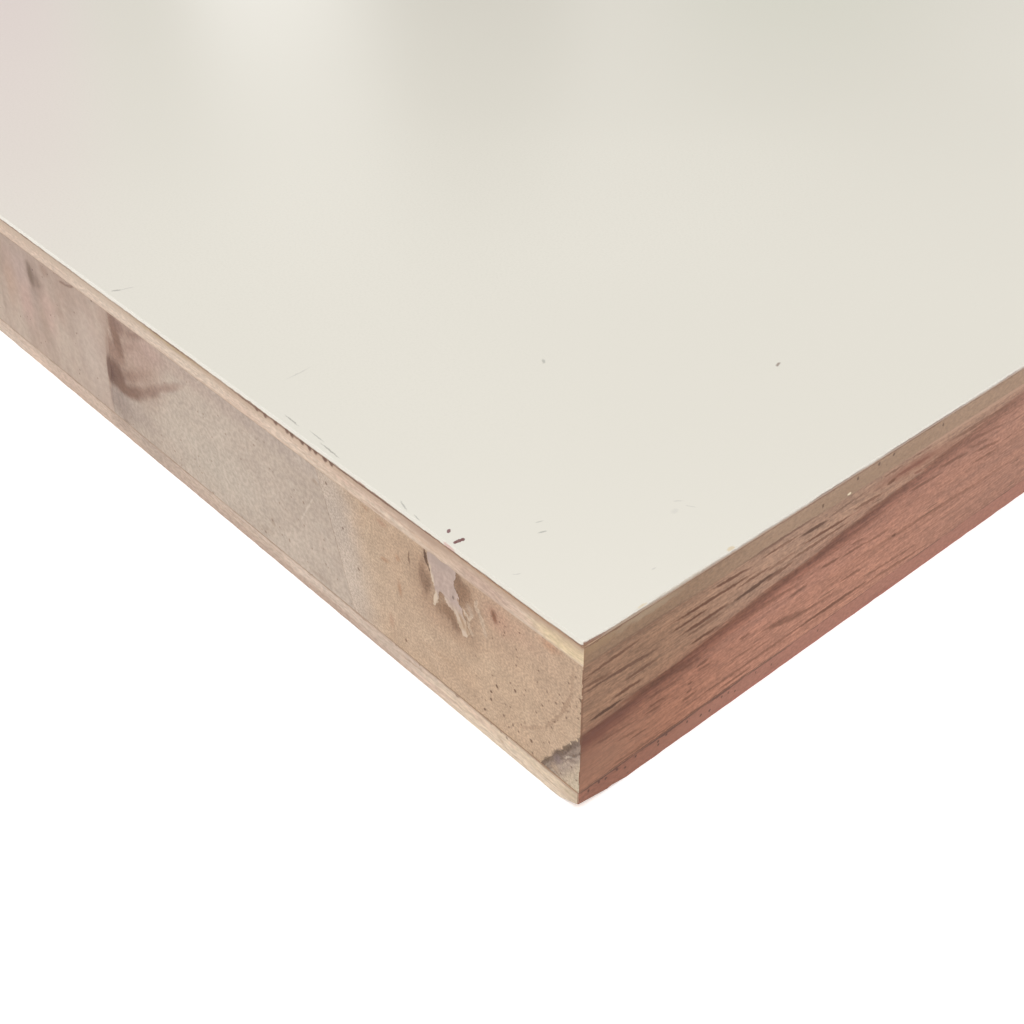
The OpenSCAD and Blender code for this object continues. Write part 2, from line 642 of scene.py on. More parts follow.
@dataclass(frozen=True)
class StripFinish:
    """Sawn light tropical hardwood strip: end grain at the ends, long grain on the sides.

    Its pores and growth bands run along the strip, so they are dots at an end and dashes on a side.
    """

    name: str
    end: str
    end_other: str
    end_dark: str
    end_light: str
    side: str = "#A07D67"
    side_other: str = "#94705D"
    dash: str = "#66402E"
    pore: str = "#5C4233"
    mottle_mm: float = 0.42
    mottle: float = 0.35
    pore_mm: float = 0.75
    pore_share: float = 0.5
    pore_size: float = 0.2
    pore_reach: tuple[float, float] = (5000.0, 4000.0)
    band_turn: float = 20.0
    band_mm: float = 6.0
    band_share: float = 0.4
    end_spots: tuple[Spot, ...] = ()
    side_spots: tuple[Spot, ...] = ()
    ringed: bool = False
    seed: float = 0.0

    def growth(self, s: Shading) -> Any:
        """Gives the growth bands: curved, soft, and tilted as the strip was cut from its plank.

        Args:
            s: The material's nodes.

        Returns:
            The socket of their value.
        """
        size = self.band_mm
        turn = (math.radians(self.band_turn), 0, 0)
        scale = (1 / (60 * size), 1 / (5 * size), 1 / size)
        where = s.add("Mapping", {0: s.shaken(1.2, 9.0), "Rotation": turn}, vector_type="POINT")
        where = s.add("VectorMath", {0: where, 1: scale}, operation="MULTIPLY")
        return s.add("TexNoise", {0: where, "Scale": 1.0, "Detail": 2.5, "Roughness": 0.6})

    def end_color(self, s: Shading) -> Any:
        """Colours the end grain: broad tones, growth bands, marks and a fine net of dark and light cells.

        Args:
            s: The material's nodes.

        Returns:
            The colour's socket.
        """
        color = s.tint(self.end, self.end_other, s.lumps((60, 9, 8), self.seed + 3.0), 0.35, 0.65)
        color = s.tint(color, self.end_light, s.lumps((9, 2.4, 2.0), self.seed + 12.0, 3.0), 0.5, 0.72, 0.6)
        color = s.tint(color, self.end_dark, self.growth(s), 0.42, 0.66, self.band_share)
        if self.ringed:
            color = RING.end_color(s, color)
        color = s.paint(color, Face.END, 0.0, self.end_spots)
        color = s.mottle(color, s.lumps((9, 2.6, 2.2), self.seed + 15.0, 3.0), 0.4 * self.mottle)
        net = s.lumps((4, self.mottle_mm, 0.85 * self.mottle_mm), self.seed, 3.0)
        return s.mottle(color, net, self.mottle)

    def side_color(self, s: Shading) -> Any:
        """Colours the long grain: broad tones, fibres, cut vessels 4 mm long and marks.

        Args:
            s: The material's nodes.

        Returns:
            The colour's socket.
        """
        if self.ringed:
            color = RING.side_color(s)
        else:
            color = s.tint(self.side, self.side_other, s.lumps((160, 9, 4), self.seed + 7.0), 0.35, 0.65)
        color = s.mottle(color, s.lumps((22, 5, 1.1), self.seed + 6.0, 3.0), 0.2)
        color = s.mottle(color, s.lumps((2.2, 1, 0.2), self.seed + 9.0, 3.0), 0.28)
        color = s.mottle(color, s.lumps((0.4, 0.4, 0.28), self.seed + 19.0, 2.0), 0.24)
        vessels = s.flecks((7, 9, 0.55), 0.5, 0.2, self.seed + 2.0)
        if self.ringed:
            vessels = RING.thinned_below(s, vessels)
        color = s.tint(color, self.dash, vessels, 0.0, 1.0, 0.6)
        # Painted shade darkens the long side towards the near corner.
        return s.painted_corner_shade(s.paint(color, Face.LONG, 0.0, self.side_spots))

    def materials(self) -> tuple[bpy.types.Material, bpy.types.Material]:
        """Builds the materials of its end grain and of its long grain."""
        return self.material("end"), self.material("side")

    def material(self, face: str) -> bpy.types.Material:
        """Builds the material of one kind of face.

        Args:
            face: Which kind: end or side.

        Returns:
            The material.
        """
        s = Shading(f"{self.name}_{face}")
        color = self.end_color(s) if face == "end" else self.side_color(s)
        cell = self.pore_mm
        pores = s.flecks((12 * cell, cell, cell), self.pore_share, self.pore_size, self.seed)
        dense = s.add("MapRange", {0: s.sides[1], 1: self.pore_reach[0], 2: self.pore_reach[1], 3: 0.12})
        pores = s.add("Math", {0: pores, 1: dense}, operation="MULTIPLY")
        color = s.tint(color, self.pore, pores, 0.0, 1.0, 0.65)
        grain = s.lumps((1.4, 0.22, 0.22), self.seed + 8.0, 3.0)
        relief = s.add("Math", {0: pores, 1: -0.8, 2: grain}, operation="MULTIPLY_ADD")
        return s.finish(color, 0.68, relief, 0.035, 0.3)


@dataclass(frozen=True)
class DarkRing:
    """The dark growth ring that crosses the first strip: a tilted plane in the sheet's own frame.

    Attributes:
        height: Its height at the near corner, in mm.
        rise_along: How fast it rises along the strip.
        fall_across: How fast it falls across the strip.
        end_stops: Colours on the end by the height above the ring, in mm.
        side_stops: Colours on the long side by the height above the ring, in mm.
        streak: The dark lines that follow the ring on the end.
        gleam: The pale lines between them.
        worn_off: The colour that the ring turns to further along the side.
    """

    height: float = 8.48
    rise_along: float = 0.108
    fall_across: float = 1.44
    end_stops: tuple[tuple[float, str], ...] = (
        (-8.0, "#B9AB93"),
        (-5.0, "#BBAA93"),
        (-3.4, "#B29E89"),
        (-2.2, "#A28F80"),
        (-1.2, "#8E7B6D"),
        (-0.6, "#7C695C"),
        (0.1, "#6B5646"),
    )
    # The pinker browns low on the long side are partly the wood's own colour and partly painted pink
    # reflected light from below.
    side_stops: tuple[tuple[float, str], ...] = (
        (-9.0, "#AB7963"),
        (-5.0, "#AA7862"),
        (-3.4, "#A97762"),
        (-2.1, "#A57460"),
        (-1.4, "#9B6955"),
        (-0.8, "#845645"),
        (-0.35, "#754A38"),
        (-0.05, "#805542"),
        (0.3, "#9F7A65"),
        (1.4, "#A4816B"),
        (8.0, "#A5836D"),
    )
    streak: str = "#665247"
    gleam: str = "#B8A690"
    worn_off: str = "#9E7461"

    def height_above(self, s: Shading, stir_mm: float, cell: tuple[float, float, float]) -> Any:
        """Gives how far a place lies above the ring, in mm, with the ring stirred by noise.

        Args:
            s: The material's nodes.
            stir_mm: How far the noise moves it in all, in mm.
            cell: The size of the noise's lumps, in mm.

        Returns:
            The socket of the height.
        """
        stirred = {0: s.lumps(cell, 2.5, 3.0), 1: stir_mm, 2: s.sides[2]}
        high = s.add("Math", stirred, operation="MULTIPLY_ADD")
        along = s.add("Math", {0: s.sides[0], 1: -self.rise_along, 2: high}, operation="MULTIPLY_ADD")
        across = s.add("Math", {0: s.sides[1], 1: self.fall_across, 2: along}, operation="MULTIPLY_ADD")
        return s.add("Math", {0: across, 1: self.height + stir_mm / 2}, operation="SUBTRACT")

    def end_color(self, s: Shading, under: Any) -> Any:
        """Lays the ring over an end: a crisp upper edge, lines along it, and a slow fade below.

        Args:
            s: The material's nodes.
            under: The colour so far.

        Returns:
            The new colour's socket.
        """
        above = self.height_above(s, 0.9, (4, 1.0, 0.9))
        color = s.ramp(above, self.end_stops)
        along = s.add("Math", {0: s.sides[1], 1: 0.35}, operation="MULTIPLY")
        lines = s.add("CombineXYZ", {0: s.add("Math", {0: above, 1: 1.5}, operation="MULTIPLY"), 1: along})
        lines = s.add("TexNoise", {0: lines, "Scale": 1.0, "Detail": 3.0})
        near = s.add("MapRange", {0: above, 1: -3.6, 2: -1.0, 4: 0.75}, **SOFTLY)
        color = s.tint(color, self.streak, lines, 0.5, 0.66, near)
        color = s.tint(color, self.gleam, lines, 0.46, 0.32, 0.5)
        return s.tint(under, color, above, 0.14, -0.04)

    def side_color(self, s: Shading) -> Any:
        """Colours the long side by the height above the ring, which fades with the distance from the end.

        Args:
            s: The material's nodes.

        Returns:
            The colour's socket.
        """
        above = self.height_above(s, 1.9, (7, 3, 0.55))
        color = s.ramp(above, self.side_stops)
        near = s.add("MapRange", {0: above, 1: 0.8, 2: -0.4, 4: 0.75}, **SOFTLY)
        return s.tint(color, self.worn_off, s.sides[0], 30.0, 62.0, near)

    def thinned_below(self, s: Shading, vessels: Any) -> Any:
        """Takes most of the open vessels away under the ring.

        Args:
            s: The material's nodes.
            vessels: The vessels' value.

        Returns:
            The socket of the thinned value.
        """
        above = self.height_above(s, 0.5, (4, 4, 4))
        keep = s.add("MapRange", {0: above, 1: -1.0, 2: 0.5, 3: 0.6}, **SOFTLY)
        return s.add("Math", {0: vessels, 1: keep}, operation="MULTIPLY")


RING = DarkRing()


@dataclass(frozen=True)
class FillerFinish:
    """Wood putty: a smooth grey-lilac paste that was knifed into a torn place and sanded flush."""

    paste: str = "#B09A8E"
    paste_dark: str = "#A89287"
    thin: str = "#B39A80"
    marks: tuple[Spot, ...] = (
        *spots(
            (16.4, 15.3, 1.3, 0.5, "#9D8A7F", 0.7, 0.9),
            (17.25, 12.9, 0.3, 0.8, "#C5B19B", 0.85, 0.5, 0, 0.2),
            (17.45, 13.9, 0.16, 0.5, "#BFA992", 0.8, 0.5, 0, 0.2),
            (16.95, 11.1, 0.26, 0.8, "#C5B19B", 0.85, 0.5, 10, 0.2),
            (15.7, 11.95, 0.7, 0.26, "#BFAA97", 0.8, 0.6, 30, 0.2),
            (13.35, 9.75, 0.4, 0.4, "#C3AE9B", 0.8, 0.6, 0, 0.2),
            (14.15, 11.2, 0.2, 0.7, "#BFAA97", 0.8, 0.6, -28, 0.2),
            (13.6, 10.9, 0.16, 0.6, "#9E8167", 0.85, 0.4, -25, 0.2),
            (13, 10.4, 0.14, 0.5, "#A3866C", 0.8, 0.4, -10, 0.2),
            (14, 12.85, 0.16, 0.22, "#94765E", 0.85, 0.4, 0, 0.2),
            (14.05, 13.7, 0.18, 0.2, "#8C6E56", 0.85, 0.4, 0, 0.2),
            (17.1, 12.05, 0.14, 0.2, "#94765E", 0.85, 0.4, 0, 0.2),
            (17.5, 13.3, 0.14, 0.16, "#94765E", 0.85, 0.4, 0, 0.2),
            (16, 12.25, 0.3, 0.14, "#94765E", 0.85, 0.4, 0, 0.2),
        ),
        *dots(0.16, "#6E5A50", 0.8, (14.62, 12.77)),
    )

    def material(self) -> bpy.types.Material:
        """Builds the material. The paste is thin at its lower end, where the wood shows through.

        Returns:
            The material.
        """
        s = Shading("wood_putty")
        color = s.tint(self.paste, self.paste_dark, s.lumps((1.2, 1.2, 1.6), 2.0, 3.0), 0.4, 0.65)
        color = s.tint(color, self.thin, s.sides[2], 12.4, 10.7, 0.9)
        color = s.mottle(color, s.lumps((0.35, 0.35, 0.35), 5.0, 3.0), 0.15)
        color = s.paint(color, Face.END, 0.0, self.marks)
        return s.finish(color, 0.6, s.lumps((0.4, 0.4, 0.4)), 0.008, 0.3)


@dataclass(frozen=True)
class FloorFinish:
    """Translucent white sheet over a light table: even, matt, and lit softly from below."""

    white: str = "#F5F5F5"
    glow: float = 0.2

    def material(self) -> bpy.types.Material:
        """Builds the material."""
        s = Shading("light_table_sheet")
        return s.finish(self.white, 0.9, s.lumps((3, 3, 3)), 0.002, 0.1, self.glow)


LAMINATE = LaminateFinish(
    marks=(
        *spots(
            (1.03, 16.13, 0.26, 0.16, "#785152", 0.95, 0.3, 48, 0.1),
            (0.8, 14.66, 0.42, 0.17, "#6F4643", 0.95, 0.3, -8, 0.1),
            (0.5, 14.71, 0.18, 0.14, "#6F4643", 0.9, 0.4, 0, 0.1),
            (1.12, 14.6, 0.2, 0.17, "#6F4643", 0.95, 0.3, 0, 0.1),
            (6.3, 11.2, 0.34, 0.08, "#A5A29A", 0.8, 0.7, -20, 0.1),
            (7, 12.3, 0.3, 0.07, "#A5A29A", 0.6, 0.8, -20, 0.1),
            (1.5, 8.8, 0.3, 0.05, "#BCB8B0", 0.7, 0.8, -30, 0.1),
            (17, 6.9, 0.34, 0.07, "#BCB8B0", 0.6, 0.8, -40, 0.1),
            (15.8, 6.2, 0.3, 0.2, "#C6C2BA", 0.5, 0.8, 0, 0.2),
            (9.55, 2.4, 0.2, 0.08, "#BCB8B0", 0.6, 0.8, 0, 0.1),
            (38.5, 14.8, 0.34, 0.18, "#8D7C70", 0.85, 0.6, 25, 0.2),
            (23.2, 29.4, 0.34, 0.14, "#A5A29A", 0.7, 0.7, 40, 0.2),
            (5.5, 42.6, 1.1, 0.08, "#BCB8B0", 0.6, 0.8, 5, 0.1),
            (0.42, 21, 0.07, 0.6, "#A5A29A", 0.75, 0.7, -19, 0.1),
            (0.24, 19.1, 0.06, 0.4, "#A5A29A", 0.7, 0.7, -10, 0.1),
            (0.55, 31, 0.07, 1.2, "#9A968D", 0.75, 0.7, -3, 0.1),
            (0.95, 33.4, 0.06, 0.9, "#A5A29A", 0.7, 0.7, -3, 0.1),
            (0.75, 36.8, 0.07, 0.9, "#9A968D", 0.75, 0.7, -3, 0.1),
            (15.6, 0.12, 0.36, 0.22, "#D1C1A5", 0.95, 0.5, 0, 0.1),
            (5.9, 0.05, 0.45, 0.13, "#D1C1A5", 0.8, 0.6, 0, 0.1),
        ),
        *dashes(
            (17, 6.1, 17.4, 5.4, 0.06, 0.6, "#BCB8B0"), (0.6, 67.2, 1.4, 66.8, 0.2, 0.8, "#A5A29A"),
            (1.4, 66.8, 2.6, 66.5, 0.1, 0.6, "#BCB8B0"),
        ),
    ),
    edge_marks=spots(
        (14.9, 17.68, 0.62, 0.2, "#C7A398", 0.9, 0.6, 4, 0.2),
        (26, 17.56, 0.4, 0.1, "#B58F7F", 0.8, 0.7, 0, 0.2),
    ),
    rim_marks=spots(
        (0.9, 17.7, 2, 0.16, "#7D5338", 0.8, 0.7, 0, 0.1),
        (4.6, 17.64, 2.3, 0.16, "#9A826B", 0.9, 0.6, 0, 0.1),
        (10.5, 17.82, 3.4, 0.12, "#B3A48F", 0.6, 0.8, 0, 0.2),
    ),
)

FACE_VENEER = VeneerFinish(
    "face_veneer_hardwood",
    "face_veneer",
    fibre="#CCB8A4",
    fibre_dark="#AD907B",
    fibre_warm="#C8AC98",
    side="#9B7E66",
    side_dark="#8A6C54",
    pore="#6F4E3C",
    flat="#C0A58C",
    flat_dark="#AE9077",
    top="#A68C76",
    top_mm=1.15,
    top_share=0.8,
    line="#75533F",
    side_line="#7A5A46",
    foot="#B0947F",
    end_spots=spots(
        (2, 16.5, 3.2, 0.9, "#D2BC97", 0.9, 0.7), (11, 16.2, 3.2, 0.9, "#B29686", 0.8, 0.8),
        (38.5, 16.3, 4, 0.5, "#D2BEAC"), (27, 16.6, 5, 0.3, "#C6AB9A", 0.5),
        (66, 16.4, 18, 0.9, "#CAB9A8", 0.7), (83, 16.4, 9, 0.7, "#C2AA98", 0.7),
        (24, 15.9, 2, 0.1, "#9C7C6A", 0.5, 0.9, 3, 0.1), (20, 16.4, 3, 0.14, "#B3937F", 0.5, 0.9, 4, 0.1),
        (31, 16.1, 4, 0.14, "#B79C89", 0.5, 0.9, 2, 0.1),
    ),
    line_spots=(
        *spots(
            (72, 17.1, 18, 0.34, "#BBA895", 0.7), (19, 17.1, 3.6, 0.4, "#A98E7C"),
            (17, 16.3, 2.2, 0.7, "#B89A84"), (17, 17.1, 2.4, 0.34, "#9A806D", 0.5),
            (35, 17.08, 4.4, 0.3, "#C6AE9A", 0.55), (5.5, 17.15, 2.6, 0.3, "#A98D76", 0.5),
            (56, 17.25, 5, 0.2, "#9C8558", 0.45), (6.5, 17.42, 7.6, 0.13, "#97714F", 0.75, 0.9, 0, 0.1),
            (16.5, 17.44, 3.5, 0.06, "#8A6248", 0.6, 0.7, 0, 0.06),
            (25.4, 17.42, 5.2, 0.12, "#6B4A38", 0.85, 0.7, 0, 0.1),
            (34.6, 17.4, 3.8, 0.1, "#6B4A38", 0.7, 0.8, 0, 0.1),
        ),
        *dots(0.3, "#5A3826", 0.85, (30.2, 17.4), (31.1, 17.38), (32.4, 17.42), (33.3, 17.38), (34.4, 17.4)),
        *dots(0.28, "#5A3826", 0.8, (35.9, 17.38), (36.6, 17.42), (38.3, 17.4), (39.9, 17.4), (41.2, 17.42)),
        *spots(
            (41.8, 17.4, 3.2, 0.12, "#6B4A38", 0.8, 0.7, 0, 0.1),
            (54, 17.42, 7, 0.1, "#856649", 0.6, 0.8, 0, 0.1),
            (74, 17.44, 12, 0.08, "#8F7A68", 0.5, 0.8, 0, 0.1),
        ),
    ),
    side_spots=(
        *spots(
            (1.5, 17.2, 1.8, 0.5, "#A68A6C", 0.8, 0.8), (6.5, 17.15, 3.2, 0.36, "#AF9B85", 0.8, 0.8),
            (33, 16.3, 9, 0.7, "#8E7259", 0.4), (2.5, 17.42, 2.2, 0.1, "#6E4B37", 0.6, 0.7),
            (30.3, 15.85, 0.25, 0.12, "#E0CFB2", 0.9, 0.5, 0, 0.1),
        ),
        *dots(0.15, "#5E4434", 0.85, (26.8, 16.4), (31.2, 17), (34, 17.1), (36, 17.1), (43, 16.9)),
        *spots(
            (27, 17.44, 9, 0.1, "#7E5B4A", 0.55, 0.8, 0, 0.1),
            (6, 15.72, 6, 0.1, "#7C5A48", 0.6, 0.8, 0, 0.1),
            (22, 15.7, 4.4, 0.12, "#6A4636", 0.8, 0.7, 0, 0.1),
        ),
    ),
    seed=3.0,
)

BACK_VENEER = VeneerFinish(
    "back_veneer_hardwood",
    "back_veneer",
    fibre="#C3B0A0",
    fibre_dark="#AA917F",
    fibre_warm="#BDA593",
    # Its long side's pinkish browns are partly the wood's own colour and partly painted pink reflected light
    # from below.
    side="#9E6B58",
    side_dark="#8B5A49",
    pore="#4F3428",
    flat="#D5B79F",
    flat_dark="#B99279",
    top="#A08772",
    top_mm=0.3,
    top_share=0.5,
    line="#86705D",
    side_line="#5F4032",
    foot="#A76059",
    foot_share=0.0,
    end_spots=(
        *spots(
            (7, 1, 10.5, 1.6, "#CFBBA2", 0.9, 0.6), (43, 0.2, 21, 0.75, "#AC9484", 0.9, 0.5),
            (74, 0.4, 13, 0.6, "#B29987", 0.6, 0.9), (62.5, 1.3, 4.5, 1.2, "#A39082", 0.85, 0.7),
            (69.5, 1.5, 2.4, 0.8, "#A08C7E", 0.8, 0.8), (0.6, 1.3, 1.3, 0.9, "#B4A086", 0.7, 0.9),
            (57, 1, 4, 0.9, "#B39E8F", 0.6, 0.8), (80.5, 1.4, 3.5, 0.8, "#BCA393", 0.6, 0.8),
            (88.5, 0.7, 2.5, 1.1, "#CDB5A3", 0.8, 0.8), (25, 1.2, 2.6, 1, "#B39F8E", 0.5),
            (48, 0.9, 13, 0.6, "#B29D8C"), (37, 1.5, 2.4, 0.5, "#D0BDAD", 0.5),
            (86.5, 1.6, 3.4, 0.5, "#B29D8C", 0.5), (7.5, 0.5, 8, 0.5, "#D8C8B6", 0.45),
            (12, 1.5, 2.4, 0.34, "#D2B5A3", 0.5, 0.9, 4), (17.5, 0.7, 3, 0.3, "#D0B3A2", 0.5, 0.9, -3),
            (32.5, 0.6, 2.6, 0.24, "#A58D7C", 0.45, 0.9, 3), (20.5, 1.4, 2.2, 0.14, "#A0826F", 0.5, 0.9, -3),
            (47, 1.6, 2.8, 0.16, "#A68B7A", 0.5, 1, 3), (7.8, 1.5, 0.5, 0.2, "#D8BCA6", 0.8, 0.7, 20, 0.2),
            (9, 1, 0.4, 0.15, "#A88E78", 0.7, 0.8, 20, 0.2),
            (3.6, 1, 2.2, 0.08, "#B59C83", 0.6, 0.9, 6, 0.2),
            (7.5, 0.5, 2, 0.08, "#B59C83", 0.6, 0.9, 4, 0.2),
            (15.5, 0.9, 2.5, 0.08, "#B59C89", 0.6, 0.9, -2, 0.2),
            (14.6, 2.02, 0.4, 0.14, "#6F503C", 0.8, 0.7, 0, 0.2),
            (28, 2.02, 1, 0.12, "#8A6B58", 0.7, 0.8, 0, 0.2),
        ),
        *dots(0.13, "#604433", 0.7, (8.4, 1.85), (9.1, 2), (10.3, 1.95), (19.6, 2), (22.8, 2.05)),
    ),
    side_spots=(
        # The first spot, a pink band along the foot of the long side, is painted pink reflected light from
        # below.
        *spots((30, 0, 40, 0.2, "#A9625A", 0.8, 0.8, 0, 0.1), (12, 0.9, 5, 0.6, "#AC7A68")),
        *dashes(
            (0.3, 2, 6, 2.02, 0.18, 0.7, "#4F3428"), (7, 2, 13, 1.97, 0.2, 0.7, "#4F3428"),
            (14.5, 2, 19, 1.97, 0.22, 0.7, "#4F3428"), (20, 2.02, 26, 2.02, 0.18, 0.6, "#5F4032"),
        ),
        *dots(0.12, "#4F3428", 0.8,
            (1.2, 1.6), (2.3, 1.75), (3.1, 1.6), (4.3, 1.7), (5.2, 1.3), (6.4, 1.75),
        ),
        *dots(0.12, "#4F3428", 0.8,
            (9, 1.6), (9.05, 1.2), (9.9, 1.7), (12.4, 1.5), (14.1, 1.1), (15.2, 0.9),
        ),
        *dots(0.12, "#5A3C2F", 0.75,
            (16.6, 1.55), (17.4, 1.5), (18.3, 1.1), (20.9, 1.6), (23, 1.2), (29.2, 1.3),
        ),
    ),
    seed=11.0,
)

PORE = "#604433"
OPEN_PORES = (
    ((10.3, 5.6), (10.3, 4.7), (11.1, 3.0), (5.5, 3.7), (9.6, 6.7), (7.4, 7.8), (0.2, 12.1), (0.1, 10.8)),
    ((5.4, 2.4), (7.7, 3.8), (8.2, 3.2), (7.0, 3.6), (8.8, 4.0), (3.3, 6.9), (2.9, 7.8), (1.7, 9.2)),
    ((1.6, 10.0), (0.4, 10.1), (0.8, 14.0), (1.5, 12.9), (2.0, 10.5), (2.8, 9.9), (3.5, 5.1), (5.0, 7.3)),
    ((3.8, 10.4), (4.9, 10.6), (0.6, 11.2), (11.0, 4.1), (12.1, 6.1), (8.6, 5.4), (6.3, 5.2), (4.4, 8.6)),
)

